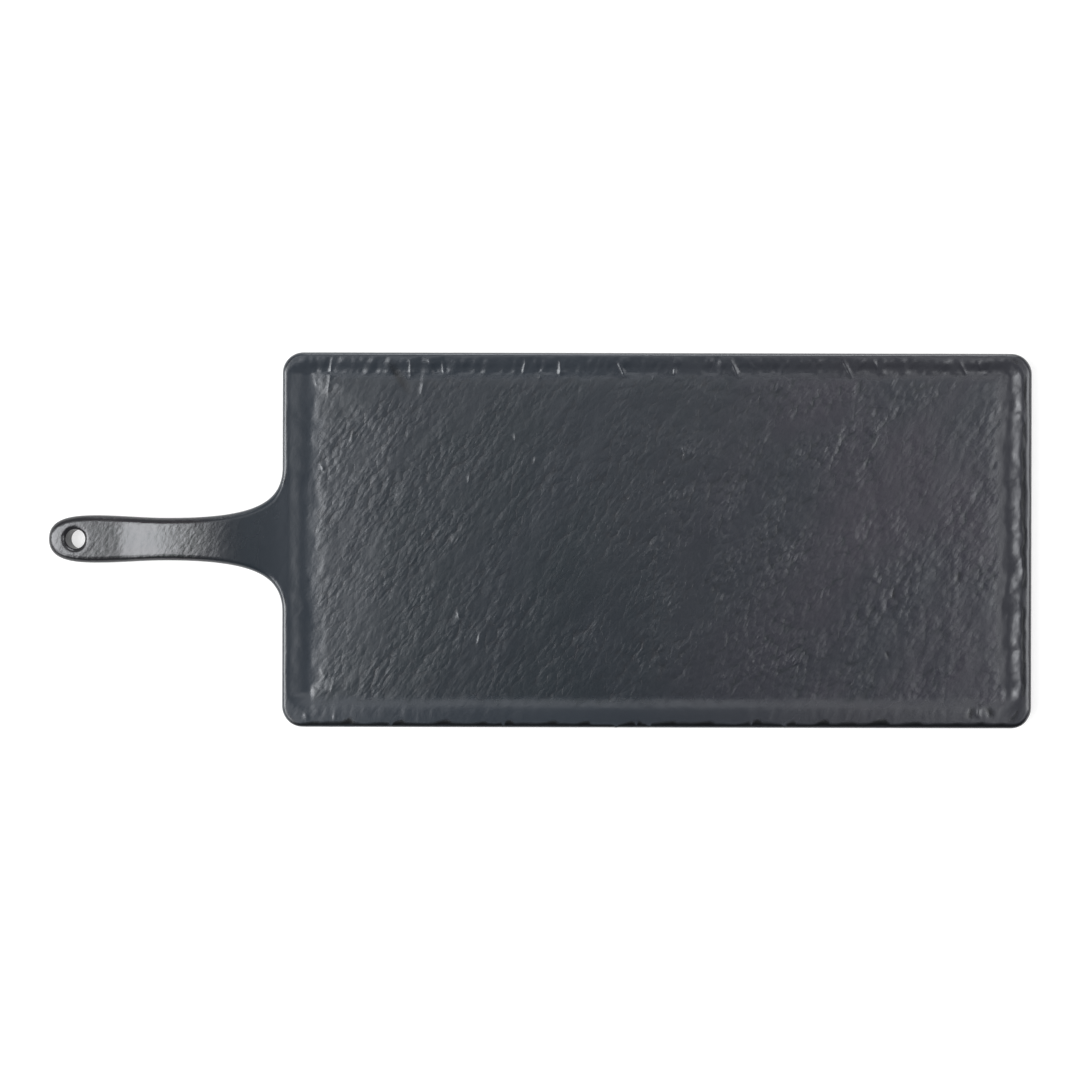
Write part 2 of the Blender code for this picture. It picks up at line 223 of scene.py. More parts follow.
class SlateRelief(bpy.types.PropertyGroup):
    """The riven relief of the field and the unevenness of the rim"""

    seed: whole("Seed", "Start of the random draws", 7)
    grain_angle: angle("Grain angle", "Lean of the slate's grain from the long way", 54)
    lamina_step: length("Lamina step", "Height of one split layer", 0.000019)
    flake_height: length("Flake height", "Height of the flakes", 0.000010)
    crease_depth: length("Crease depth", "Depth of the thin creases between layers", 0.000035)
    swell_height: length("Swell height", "Height of the field's slow swell", 0.000032)
    stroke_count: whole("Strokes", "Small random chips", 420)
    stroke_rise: length("Stroke rise", "Height of the small random chips", 0.00008)
    ripple_height: length("Ripple height", "Height of the ripples that cross the rim", 0.00014)
    ragged_edge: share("Ragged edge", "How far the round of the edge comes and goes", 0.18)
    crack_depth: length("Crack depth", "Depth of the crack along the far rim", 0.00014)
    grain_depth: length("Grain depth", "Depth of the stone's fine grain", 0.00046)
    soft_depth: length("Soft depth", "Depth of the soft unevenness all over", 0.00022)


class PaddleFinish(bpy.types.PropertyGroup):
    """Colours and gloss"""

    slate_grey: colour("Slate grey", "Melamine, main colour", (0.0118, 0.0164, 0.0222))
    # The next colour is both the field's random cool mottling and painted shade towards its lower side.
    cool_slate_and_shade: colour("Cool slate", "Melamine, cool mottling", (0.0040, 0.0092, 0.0136))
    rim_blue: colour("Rim blue", "Melamine of the smooth rim", (0.0192, 0.0250, 0.0328))
    rim_grey: colour("Rim grey", "Colour of the smooth rim at the far end", (0.0224, 0.0232, 0.0290))
    # The next colour is painted shade in the creases between the field's facets.
    crease_shade_blue: colour("Crease blue", "Melamine in the creases of the field", (0.0060, 0.0080, 0.0120))
    # The next colour is the board's own melamine painted darker and neutral on the handle, as painted shade.
    handle_shaded_grey: colour("Handle grey", "Melamine of the handle", (0.0116, 0.0114, 0.0136))
    # The next colour is painted shade: near-black melamine in the far rim's crack, in sunken chips, under
    # the lower edge and just inside the handle end's edge.
    painted_shade_black: colour("Cavity black", "Melamine in cracks and under the edge", (0.0020, 0.0024, 0.0032))
    slate_warm: colour("Warm slate", "Melamine, warm mottling", (0.0170, 0.0150, 0.0232))
    field_roughness: share("Field roughness", "Roughness of the riven field", 0.31)
    rim_roughness: share("Rim roughness", "Roughness of the rim and the handle", 0.25)
    silicone_black: colour("Silicone black", "Feet", (0.016, 0.016, 0.018))
    silicone_roughness: share("Silicone roughness", "Roughness of the feet", 0.72)


class StudioStage(bpy.types.PropertyGroup):
    """Camera, lamps and floor"""

    camera_height: length("Camera height", "Height of the camera over the floor", 1.0635)
    camera_x: length("Camera x", "Place of the camera along the paddle", 0.00010)
    camera_y: length("Camera y", "Place of the camera across the paddle", -0.00003)
    camera_angle: angle("Camera angle", "Width of the camera's view", 30.60)
    camera_roll: angle("Camera roll", "Turn of the camera about its line of sight", 0.13)
    world_light: number("World light", "Strength of the light from behind", 0.26)
    world_mid: number("World light, middle", "Strength of the light from above, towards the front", 0.06)
    world_front: number("World light, front", "Strength of the light from in front", 0.09)
    floor_size: length("Floor size", "Side of the square floor", 12.0)
    floor_white: colour("Floor white", "Colour of the floor", (0.45, 0.45, 0.45))
    floor_glow: number("Floor glow", "White that the camera sees on top of the lit floor", 0.65)


# Plan of the paddle


def bezier(start, start_lead, end_lead, end, steps):
    """Points of one smooth stretch, leaving out its first point."""
    t = np.linspace(0.0, 1.0, steps + 1)[1:, None]
    p0, p1, p2, p3 = (np.asarray(p, float) for p in (start, start_lead, end_lead, end))
    return p0 * (1 - t) ** 3 + 3 * p1 * t * (1 - t) ** 2 + 3 * p2 * t * t * (1 - t) + p3 * t**3


def arc(centre, radius, first, last, steps):
    turns = np.linspace(first, last, steps + 1)
    return np.column_stack((centre[0] + radius * np.cos(turns), centre[1] + radius * np.sin(turns)))


CURVE_STEPS = 60


class Plan:
    """Places and heights that follow from the sizes."""

    def __init__(self, sizes):
        self.sizes = sizes
        self.nose_x = MOULDING_LOW.x
        self.far_x = MOULDING_HIGH.x
        self.near_x = self.far_x - sizes.board_length
        self.half_width = MOULDING_HIGH.y
        self.stand = MOULDING_LOW.z
        self.rim_top = self.stand + sizes.board_thickness
        self.arch_rise = MOULDING_HIGH.z - self.rim_top
        self.recess_floor = self.stand + sizes.recess_depth
        self.eye = (self.nose_x + sizes.eye_to_nose, 0.0)
        self.eye_base = (self.eye[0] + sizes.eye_lean, 0.0)
        self.rise_reach, self.rise_height = self.handle_rise()

    def handle_rise(self):
        """Distances from the board, and heights over the rim, along the top of the handle."""
        s = self.sizes
        crest = (s.arch_to_board, self.arch_rise)
        pad = (self.near_x - self.nose_x - s.pad_length, 0.0)
        half = s.arch_to_board / 2
        fall = pad[0] - crest[0]
        root = (s.root_reach, s.root_rise)
        up = bezier((0, 0), root, (half, crest[1]), crest, CURVE_STEPS)
        down_start = (crest[0] + s.arch_fullness * fall, crest[1])
        down_end = (pad[0] - s.pad_fullness * fall, 0.0)
        down = bezier(crest, down_start, down_end, pad, CURVE_STEPS)
        curve = np.vstack(([(0.0, 0.0)], up, down))
        return curve[:, 0], curve[:, 1]

    def top_height(self, x):
        """Height of the rim, and of the handle's top, along the paddle."""
        s = self.sizes
        past = np.clip(1 - (x - self.nose_x) / s.nose_droop_reach, 0.0, 1.0)
        rise = np.interp(self.near_x - x, self.rise_reach, self.rise_height)
        lip = smooth_step(s.far_edge_round - s.far_lip_reach, 0.0, x - self.far_x + s.far_edge_round)
        return self.rim_top + rise - s.nose_droop * past**2 + s.far_lip * lip

    def base_height(self, x):
        """Height of the underside: level below the board, and up to the handle's thickness."""
        s = self.sizes
        eased = smooth_step(0.0, s.arch_to_board, self.near_x - x)
        rise = np.interp(self.near_x - x, self.rise_reach, self.rise_height)
        return self.stand + rise + (s.board_thickness - s.handle_thickness) * eased

    def side(self):
        """The +Y side of the outline, from the nose to the middle of the far end, as a dense line."""
        s = self.sizes
        nose = np.array((self.nose_x, 0.0))
        bulge = np.array((self.nose_x + s.nose_to_bulge, s.bulge_half_width))
        waist = np.array((self.near_x - s.waist_to_board, s.waist_half_width))
        flare = np.array((self.near_x, s.flare_half_width))
        along = np.array((1.0, 0.0))
        across = np.array((0.0, 1.0))
        nose_lead = nose + across * s.nose_fullness * s.bulge_half_width
        shoulder = bulge - along * s.shoulder_fullness * s.nose_to_bulge
        side_lead = along * s.side_fullness * (waist[0] - bulge[0])
        neck = waist + along * s.neck_fullness * s.waist_to_board
        flare_lead = flare - across * s.flare_fullness * (s.flare_half_width - s.waist_half_width)
        inner_y = self.half_width - s.corner_radius
        near_corner = (self.near_x + s.corner_radius, inner_y)
        far_corner = (self.far_x - s.corner_radius, inner_y)
        return np.vstack(
            (
                nose[None],
                bezier(nose, nose_lead, shoulder, bulge, CURVE_STEPS),
                bezier(bulge, bulge + side_lead, waist - side_lead, waist, CURVE_STEPS),
                bezier(waist, neck, flare_lead, flare, CURVE_STEPS),
                arc(near_corner, s.corner_radius, math.pi, math.pi / 2, CURVE_STEPS),
                arc(far_corner, s.corner_radius, math.pi / 2, 0.0, CURVE_STEPS),
                [(self.far_x, 0.0)],
            )
        )

    def outline(self, spacing):
        """The closed outline, anticlockwise from the nose, with points about one spacing apart."""
        side = self.side()
        steps = np.hypot(*np.diff(side, axis=0).T)
        run = np.concatenate(([0.0], np.cumsum(steps)))
        places = np.linspace(0.0, run[-1], round(run[-1] / spacing) + 1)
        side = np.column_stack([np.interp(places, run, side[:, i]) for i in (0, 1)])
        return np.vstack((side * (1, -1), side[-2:0:-1]))


def smooth_step(low, high, value):
    part = np.clip((value - low) / (high - low), 0.0, 1.0)
    return part * part * (3 - 2 * part)


def inward(loop):
    """Unit normals of an anticlockwise loop, pointing into it."""
    run = np.roll(loop, -1, axis=0) - np.roll(loop, 1, axis=0)
    normals = np.column_stack((-run[:, 1], run[:, 0]))
    return normals / np.hypot(*normals.T)[:, None]


# Relief of the slate

MAP_PITCH = 0.35 * MM
MAP_MARGIN = 4 * MM
TRAY_ROUNDING = 1.2
GRAIN_BOW = 1.0
LAYER_STEPS = 1.4
RISER_SHARE = 0.4
SEAM_WIDTH = 0.12
PATCH_SPREAD = 0.36
PATCH_LIMIT = 1.8
FOLD_BRIDGE = 0.15
FOLD_TAIL = 2.4
# Darkness of the painted shade in sunken chips
HOLLOW_SHADE = 0.8
CRACK_SHARE = 0.23
SIDE_REACH = 36 * MM

# How soon the cove falls at the handle end, the far end, the upper and the lower side: 1 is even
COVE_SKEW = (0.70, 0.75, 1.0, 1.78)
# The map's last field is painted shade: how dark the colour is painted along the far rim's crack and in
# sunken chips.
Map = namedtuple("Map", "low_x low_y height slate grain cavity")


def grain_noise(rng, shape, along, across, lean):
    """A smooth random field of unit spread, with lumps longer along the grain than across it."""
    across_y = np.fft.fftfreq(shape[0], MAP_PITCH)[:, None]
    along_x = np.fft.rfftfreq(shape[1], MAP_PITCH)[None, :]
    u = along_x * math.cos(lean) + across_y * math.sin(lean)
    v = across_y * math.cos(lean) - along_x * math.sin(lean)
    keep = np.exp(-2 * math.pi**2 * ((u * along) ** 2 + (v * across) ** 2))
    field = np.fft.irfft2(np.fft.rfft2(rng.standard_normal(shape)) * keep, s=shape)
    return (field - field.mean()) / field.std()


def terrace(values, riser):
    """Turns a smooth field into steps whose risers take a share of each step."""
    tread = np.floor(values)
    return tread + smooth_step(0.0, riser, values - tread)


def add_fold(height, x, y, middle, reach, lean, width, rise):
    """Raises one fold: steep on its handle side, falling gently on its far side, thin at both ends."""
    near = (x > middle[0] - reach) & (x < middle[0] + reach)
    rows = np.nonzero((y > middle[1] - reach) & (y < middle[1] + reach))[0]
    columns = np.nonzero(near)[0]
    if not len(rows) or not len(columns):
        return
    window = np.ix_(rows, columns)
    dx = x[columns][None, :] - middle[0]
    dy = y[rows][:, None] - middle[1]
    u = dx * math.sin(lean) + dy * math.cos(lean)
    v = dx * math.cos(lean) - dy * math.sin(lean)
    taper = np.clip(1 - (u / reach) ** 2, 0.0, 1.0)
    steep = smooth_step(-width, 0.0, v)
    gentle = 1 - smooth_step(0.0, FOLD_TAIL * width, v)
    height[window] += np.broadcast_to(rise, height.shape)[window] * taper * steep * gentle


def tray_share(plan, x, y):
    """How far in from the rim a place lies: the cove runs from 0 to 1, the groove's level bottom to 2,
    the shoulder to 3, and the field is past that. Then 1 where a long side is nearer than an end."""
    s = plan.sizes
    near = x - plan.near_x - s.edge_round
    far = plan.far_x - x - s.far_edge_round
    back = plan.half_width - y - s.edge_round
    front = plan.half_width + y - s.front_edge_round
    shares = []
    for inset, *widths in zip((near, far, back, front), s.rim_land, s.cove, s.groove, s.shoulder):
        borders = np.cumsum(widths)
        past = np.maximum(inset - borders[-1], 0.0) / widths[-1]
        before = np.minimum(inset - borders[0], 0.0) / widths[1]
        shares.append(np.interp(inset, borders, (0.0, 1.0, 2.0, 3.0)) + past + before)
    ends = np.minimum(shares[0], shares[1])
    sides = np.minimum(shares[2], shares[3])
    from_end = TRAY_ROUNDING - ends
    from_side = TRAY_ROUNDING - sides
    corner = np.hypot(np.maximum(from_end, 0.0), np.maximum(from_side, 0.0))
    share = TRAY_ROUNDING - corner - np.minimum(np.maximum(from_end, from_side), 0.0)
    return share, smooth_step(-TRAY_ROUNDING, TRAY_ROUNDING, ends - sides)


def tray_height(plan, t, near, far, front, back):
    """Section of the tray below the rim: cove, groove, and the shoulder up to the field. The lower side
    has no groove: its cove runs down to the field."""
    s = plan.sizes
    skew = np.full_like(t, COVE_SKEW[0])
    for weight, value in zip((far, back, front), COVE_SKEW[1:]):
        skew += (value - COVE_SKEW[0]) * weight
    cove = (1 - np.cos(math.pi * np.clip(t, 0.0, 1.0) ** skew)) / 2
    groove = (s.groove_depth - s.field_drop) * (1 - front)
    deeper = s.groove_deeper * near
    height = -(s.field_drop + groove + deeper) * cove
    return height + groove * smooth_step(2.0, 3.0, t) + deeper * smooth_step(1.6, 8.0, t)


def root_fall(plan, x, y):
    """How the handle's slope runs on across the rim at its root. The groove takes the fall up again."""
    s = plan.sizes
    run = np.maximum(x - plan.near_x, 0.0) / s.root_run
    across = 1 - smooth_step(0.7 * s.flare_half_width, s.flare_half_width, np.abs(y))
    return s.root_fall * np.minimum(run, 1.0) * (1 - smooth_step(2.4, 4.6, run)) * across


def side_weights(plan, x, y):
    """Which edge of the board is near: shares for the handle end, far end, lower and upper sides."""
    return tuple(
        1 - smooth_step(0.6 * SIDE_REACH, SIDE_REACH, inset)
        for inset in (x - plan.near_x, plan.far_x - x, y + plan.half_width, plan.half_width - y)
    )


# How strong the relief, its fine grain and its slow swell are along the board, in pairs of a share of its
# length and a strength
RELIEF_ALONG = (
    (0.0, 0.54), (0.15, 0.60), (0.36, 0.74), (0.55, 1.20),
    (0.66, 1.60), (0.80, 1.60), (1.0, 1.45),
)
GRAIN_ALONG = (
    (0.0, 0.51), (0.15, 0.50), (0.36, 0.38), (0.53, 0.78),
    (0.66, 0.92), (0.80, 0.60), (1.0, 0.54),
)
SWELL_ALONG = (
    (0.0, 1.1), (0.30, 1.2), (0.50, 1.9),
    (0.62, 1.9), (0.80, 1.2), (1.0, 1.15),
)


def along_board(plan, x, table):
    """A strength along the board, from pairs of a share of its length and a value."""
    return np.interp((x - plan.near_x) / plan.sizes.board_length, *zip(*table))


def bend(field, shift_x, shift_y):
    """Reads a field at places shifted by up to a few millimetres, so that its grain wanders."""
    rows, columns = np.indices(field.shape)
    row = rows + shift_y / MAP_PITCH
    column = columns + shift_x / MAP_PITCH
    i = np.floor(row).astype(int)
    j = np.floor(column).astype(int)
    b = row - i
    a = column - j
    i, i_next = i % field.shape[0], (i + 1) % field.shape[0]
    j, j_next = j % field.shape[1], (j + 1) % field.shape[1]
    lower = field[i, j] * (1 - a) + field[i, j_next] * a
    upper = field[i_next, j] * (1 - a) + field[i_next, j_next] * a
    return lower * (1 - b) + upper * b


def riven_relief(rng, relief, gx, gy):
    """Split layers with ragged risers, thin creases, and flakes that lie along the grain."""
    shape = gx.shape
    lean = relief.grain_angle
    layers = grain_noise(rng, shape, 3.2 * MM, 1.55 * MM, lean)
    layers += 0.6 * grain_noise(rng, shape, 1.8 * MM, 0.95 * MM, lean + 0.30)
    flakes = np.maximum(
        grain_noise(rng, shape, 1.5 * MM, 0.80 * MM, lean + 0.20),
        grain_noise(rng, shape, 1.4 * MM, 0.75 * MM, lean - 0.30),
    )
    seams = np.abs(grain_noise(rng, shape, 4.0 * MM, 1.85 * MM, lean - 0.10))
    height = relief.lamina_step * terrace(LAYER_STEPS * layers, RISER_SHARE) + relief.flake_height * flakes
    height -= relief.crease_depth * np.exp(-seams / SEAM_WIDTH)
    wander_x = 0.6 * MM * grain_noise(rng, shape, 8 * MM, 8 * MM, 0.0)
    wander_y = 0.6 * MM * grain_noise(rng, shape, 8 * MM, 8 * MM, 0.0)
    return bend(height, wander_x + GRAIN_BOW * gy**2, wander_y)


def rim_ripples(rng, relief, handle_end, far_end, lower, upper):
    """Low ripples that cross the rim: lumpy at the far end, fine along the upper side."""
    shape = far_end.shape
    on_ends = grain_noise(rng, shape, 2.0 * MM, 2.4 * MM, 0.0)
    on_sides = grain_noise(rng, shape, 3.0 * MM, 1.2 * MM, math.pi / 2 - 0.2)
    on_sides += 0.4 * grain_noise(rng, shape, 3.0 * MM, 4.0 * MM, math.pi / 2 - 0.3)
    height = on_ends * (0.25 * handle_end + 0.60 * far_end) + on_sides * (0.15 * lower + 0.8 * upper)
    return relief.ripple_height * height


def random_chips(rng, relief, x, y):
    """Small raised and sunken chips at random places, lying about along the grain."""
    chips = np.zeros((len(y), len(x)))
    for _ in range(relief.stroke_count):
        middle = (rng.uniform(x[0], x[-1]), rng.uniform(y[0], y[-1]))
        reach = rng.uniform(1.2, 4.0) * MM
        turn = math.pi / 2 - relief.grain_angle + rng.normal(0.0, 0.25)
        width = rng.uniform(0.7, 1.1) * MM
        rise = relief.stroke_rise * rng.uniform(0.5, 1.6) * rng.choice((1, 1, -1))
        add_fold(chips, x, y, middle, reach, turn, width, rise)
    return chips


def add_listed_folds(plan, height, x, y, span):
    """Adds the listed folds and chips to the heights, and returns how dark each sunken chip is painted as
    shade.
    """
    chip_shade = np.zeros_like(height)
    for fold in FOLDS:
        middle = (plan.near_x + fold.from_end * MM, fold.off_middle * MM)
        form = (middle, fold.length / 2 * MM, math.radians(fold.lean), fold.width * MM)
        add_fold(height, x, y, *form, fold.rise * MM + span * (fold.rise > 0))
        if fold.rise < 0:
            add_fold(chip_shade, x, y, *form, HOLLOW_SHADE)
    return chip_shade


def slate_map(plan, relief):
    """The tray's heights over the rim's top, the share of riven slate, the depth of its grain, and the
    painted shade of the far rim's crack and of sunken chips, on a fine square grid.
    """
    rng = np.random.default_rng(relief.seed)
    low_x = plan.near_x - MAP_MARGIN
    low_y = -plan.half_width - MAP_MARGIN
    x = np.arange(low_x, plan.far_x + MAP_MARGIN, MAP_PITCH)
    y = np.arange(low_y, plan.half_width + MAP_MARGIN, MAP_PITCH)
    gx, gy = np.meshgrid(x, y)
    shape = gx.shape
    lean = relief.grain_angle

    riven = riven_relief(rng, relief, gx, gy)
    chips = random_chips(rng, relief, x, y)
    patches = grain_noise(rng, shape, 7 * MM, 4 * MM, lean)
    patches = 1 + PATCH_SPREAD * np.clip(patches, -PATCH_LIMIT, PATCH_LIMIT)
    strength = along_board(plan, gx, RELIEF_ALONG) * patches
    swell = grain_noise(rng, shape, 7 * MM, 3.4 * MM, lean)
    swell += 0.45 * grain_noise(rng, shape, 4 * MM, 1.9 * MM, lean + 0.2)
    swell *= relief.swell_height * along_board(plan, gx, SWELL_ALONG)

    border = grain_noise(rng, shape, 1.6 * MM, 1.0 * MM, lean)
    handle_end, far_end, front, back = side_weights(plan, gx, gy)
    t, along_side = tray_share(plan, gx, gy)
    front *= along_side
    back *= along_side
    far_end *= 1 - along_side
    handle_end *= 1 - along_side
    handle_half = (1 - along_side) * (gx < (plan.near_x + plan.far_x) / 2)
    waver = 0.04 * grain_noise(rng, shape, 6 * MM, 2.6 * MM, 0.0)
    waver += 0.02 * grain_noise(rng, shape, 2 * MM, 1.0 * MM, 0.0)
    t += far_end * waver * smooth_step(-0.5, 0.2, t)
    slate = smooth_step(2.1 - 1.55 * front, 2.6 - 1.45 * front, t + 0.10 * border)
    on_rim = smooth_step(-0.3, 0.3, t) * (1 - smooth_step(1.0, 2.0, t))
    height = tray_height(
        plan, t + 0.06 * border * smooth_step(1.8, 2.4, t), handle_half, far_end, front, back
    )
    span = -FOLD_BRIDGE * height * (1 - smooth_step(0.3, 1.7, t)) * along_side
    height += on_rim * rim_ripples(rng, relief, handle_end, far_end, front, back)
    height += slate * (strength * (riven + chips * smooth_step(2.8, 3.6, t)) + swell)
    crack = np.clip(1 + t / CRACK_SHARE, 0.0, 1.0) * (1 - smooth_step(-0.02, 0.03, t)) * far_end
    crack *= smooth_step(-1.4, 0.2, grain_noise(rng, shape, 1.2 * MM, 3 * MM, 0.0))
    height -= relief.crack_depth * crack
    chip_shade = add_listed_folds(plan, height, x, y, span)
    grain = slate * along_board(plan, gx, GRAIN_ALONG) * patches
    # Painted shade: the colour darkens along the far rim's crack and in sunken chips.
    return Map(low_x, low_y, height, slate, grain, np.maximum(np.sqrt(crack), chip_shade))


def read_map(field, slate, x, y):
    """Reads one field of the map between its grid points."""
    column = np.clip((x - slate.low_x) / MAP_PITCH, 0, field.shape[1] - 1.001)
    row = np.clip((y - slate.low_y) / MAP_PITCH, 0, field.shape[0] - 1.001)
    i = row.astype(int)
    j = column.astype(int)
    b = row - i
    a = column - j
    lower = field[i, j] * (1 - a) + field[i, j + 1] * a
    upper = field[i + 1, j] * (1 - a) + field[i + 1, j + 1] * a
    return lower * (1 - b) + upper * b


# Meshes


class Skin:
    """Points and triangles of one closed skin, gathered piece by piece."""

    def __init__(self):
        self.points = []
        self.faces = []
        self.count = 0

    def add_points(self, plan_points, heights):
        """Adds points and returns their indices."""
        heights = np.broadcast_to(np.asarray(heights, float), len(plan_points))
        self.points.append(np.column_stack((plan_points, heights)))
        first = self.count
        self.count += len(plan_points)
        return np.arange(first, self.count)

    def add_band(self, lower, upper):
        """Triangles between two closed loops of as many points; faces out where the loops run
        anticlockwise seen from outside with the second one above the first."""
        lower_next = np.roll(lower, -1)
        upper_next = np.roll(upper, -1)
        self.faces.append(np.column_stack((lower, lower_next, upper_next)))
        self.faces.append(np.column_stack((lower, upper_next, upper)))

    def add_faces(self, faces):
        self.faces.append(np.asarray(faces))

    def to_mesh(self, name):
        mesh = bpy.data.meshes.new(name)
        points = np.vstack(self.points)
        faces = np.vstack(self.faces).astype(np.int32)
        mesh.vertices.add(len(points))
        mesh.vertices.foreach_set("co", points.ravel())
        mesh.loops.add(faces.size)
        mesh.loops.foreach_set("vertex_index", faces.ravel())
        mesh.polygons.add(len(faces))
        mesh.polygons.foreach_set("loop_start", np.arange(0, faces.size, 3, dtype=np.int32))
        mesh.update(calc_edges=True)
        if mesh.validate():
            raise RuntimeError(f"{name}: the mesh has stray faces")
        return mesh


INSIDE_LOOPS = 1
CORNER_STEPS = 24
SHARP_ANGLE = math.radians(50)


def off_loop(points, loops):
    """Each point's nearest point on some loops, as an index, and the way to the point from there."""
    border = np.vstack(loops)
    tree = KDTree(len(border))
    for i, place in enumerate(border):
        tree.insert((*place, 0.0), i)
    tree.balance()
    nearest = np.array([tree.find((px, py, 0.0))[1] for px, py in points], int)
    return nearest, points - border[nearest]


def clear_of(points, loops, distance):
    """Which points lie at least one distance away from every loop's points."""
    _, way = off_loop(points, loops)
    return np.hypot(*way.T) > distance


def well_inside(points, loop, normals, distance):
    """Which points lie at least one distance inside a loop, which may be uneven."""
    nearest, way = off_loop(points, (loop,))
    return (way * normals[nearest]).sum(axis=1) > distance


def inside_even(points, loop):
    """Which points lie inside an even loop that is alike on both sides of its middle line."""
    centre = loop.mean(axis=0)
    upper = loop[loop[:, 1] > centre[1] - 1e-9] - (0.0, centre[1])
    rising = np.where(upper[:, 0] < centre[0], upper[:, 1], -upper[:, 1])
    upper = upper[np.lexsort((rising, np.round(upper[:, 0], 9)))]
    x, y = points.T
    within = (x > upper[0, 0]) & (x < upper[-1, 0])
    return within & (np.abs(y - centre[1]) < np.interp(x, upper[:, 0], upper[:, 1]))


def fill_sheet(outer, holes, extra):
    """Triangulates the sheet inside a loop and outside even holes, through the extra points.

    Returns the triangles as indices into the outer loop's points, then the holes', then the extra ones.
    """
    parts = [outer, *holes]
    places = np.vstack([*parts, extra])
    edges = []
    first = 0
    for part in parts:
        edges += [(first + i, first + (i + 1) % len(part)) for i in range(len(part))]
        first += len(part)
    found = delaunay_2d_cdt([Vector(place) for place in places], edges, [], INSIDE_LOOPS, 1e-9)
    source = np.array([originals[0] for originals in found[3]])
    if len(source) != len(places):
        raise RuntimeError("points of a sheet coincide")
    triangles = source[np.array(found[2])]
    middles = places[triangles].mean(axis=1)
    keep = np.ones(len(triangles), bool)
    for hole in holes:
        keep &= ~inside_even(middles, hole)
    return triangles[keep]


def lattice(low, high, along, across, lean):
    """Points in staggered rows that lie along a lean, over a box."""
    middle = (np.asarray(low) + high) / 2
    reach = np.hypot(*(np.asarray(high) - low)) / 2
    u = np.arange(-reach, reach, along)
    v = np.arange(-reach, reach, across)
    gu, gv = np.meshgrid(u, v)
    gu = gu + along / 2 * (np.arange(len(v)) % 2)[:, None]
    x = middle[0] + gu * math.cos(lean) - gv * math.sin(lean)
    y = middle[1] + gu * math.sin(lean) + gv * math.cos(lean)
    points = np.column_stack((x.ravel(), y.ravel()))
    return points[np.all((points > low) & (points < high), axis=1)]


def rounded_rectangle(plan, inset, radius, spacing, offset=0.0):
    """Points about one spacing apart on a loop inside the board, held off its edges."""
    low = np.array((plan.near_x + inset + radius, -plan.half_width + inset + radius))
    high = np.array((plan.far_x - inset - radius, plan.half_width - inset - radius))
    corners = ((low[0], low[1]), (high[0], low[1]), (high[0], high[1]), (low[0], high[1]))
    turns = [math.pi + math.pi / 2 * i for i in range(5)]
    line = [
        arc(corner, radius, first, last, CORNER_STEPS)
        for corner, first, last in zip(corners, turns, turns[1:])
    ]
    line = np.vstack((*line, line[0][:1]))
    run = np.concatenate(([0.0], np.cumsum(np.hypot(*np.diff(line, axis=0).T))))
    count = round(run[-1] / spacing)
    places = (np.arange(count) + offset) / count * run[-1]
    return np.column_stack([np.interp(places, run, line[:, i]) for i in (0, 1)])


def circle(centre, radius, count):
    return arc(centre, radius, 0.0, 2 * math.pi, count)[:-1]


def finish_piece(name, mesh, material, node):
    """Makes the object, and ties it to the model that it dresses."""
    mesh.shade_smooth()
    mesh.set_sharp_from_angle(angle=SHARP_ANGLE)
    mesh.materials.append(material)
    piece = bpy.data.objects.new(name, mesh)
    bpy.context.scene.collection.objects.link(piece)
    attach(piece, "root")
    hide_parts(node)
    return piece


# The moulding

EDGE_SPACING = 1.2 * MM
RIM_SPACING = 0.9 * MM
RIM_ROW = 0.62 * MM
RIM_START = 0.7 * MM
RIM_STOP = 0.4 * MM
HANDLE_SPACING = (1.3 * MM, 1.2 * MM)
FIELD_INSET = 11.6 * MM
FIELD_CORNER = 2.5 * MM
FIELD_SPACING = 1.22 * MM
EDGE_CLEARANCE = 0.3 * MM
RING_CLEARANCE = 0.4 * MM

# Points along the folds: their spacing in millimetres, their rows in widths of the steep face, and how far
# they keep from each other, from the field's other points and from those of the rim
FOLD_SPACING = 0.8
FOLD_ROWS = (-1.0, -0.5, 0.0, 0.8)
FOLD_THINNING = 0.4 * MM
FOLD_TO_FIELD = 0.6 * MM
FOLD_TO_RIM = 0.5 * MM

# Points of the underside
BASE_SPACING = 7 * MM
BASE_MARGIN = 4 * MM
BASE_EDGE_CLEARANCE = 0.5 * MM
BASE_EYE_CLEARANCE = 0.6 * MM
WALL_SPACING = 2.2 * MM
WALL_ROWS = 8
WALL_MARGIN = 0.4
SOCKET_POINTS = 36
SOCKET_RINGS = (4.2 * MM, 6 * MM, 9 * MM)
SOCKET_CLEARANCE = 0.2 * MM
NECK_OVERLAP = 6 * MM
FLOOR_TO_SOCKETS = 3 * MM

# The edge and the eye
ROUND_RINGS = 7
BASE_RINGS = 4
EYE_POINTS = 72
EYE_TURNS = 10
FACING = (0.45, 0.95)
RAGGED_RUN = 3 * MM
RAGGED_LIMIT = 1.8
NICK_DEPTH = 1.3
NICK_WIDTH = 0.8 * MM

# How dark the rings of the upper edge are painted as shade, from the outside in: along the lower side, where
# that is chipped, and at the handle end
EDGE_SHADE_LOWER = (0.0, 0.0, 0.0, 0.4, 0.9, 0.9, 0.5, 0.0)
EDGE_SHADE_CHIPS = (0.0, 0.0, 0.0, 0.0, 0.2, 0.6, 1.0, 0.5)
EDGE_SHADE_NEAR = (0.0, 0.0, 0.0, 0.0, 0.0, 0.0, 0.5, 0.7)

# Places of small nicks in the lower edge, in millimetres from the board's handle end
NICKS = (58.5, 118.4, 178.3, 189.0, 195.9, 250.5, 268.1)


def facing(plan, loop):
    """1 where the outline runs along the board's lower side, fading out round its corners; then the
    same for its far end."""
    inward_x, inward_y = inward(loop).T
    on_board = loop[:, 0] > plan.near_x
    return smooth_step(*FACING, inward_y) * on_board, smooth_step(*FACING, -inward_x) * on_board


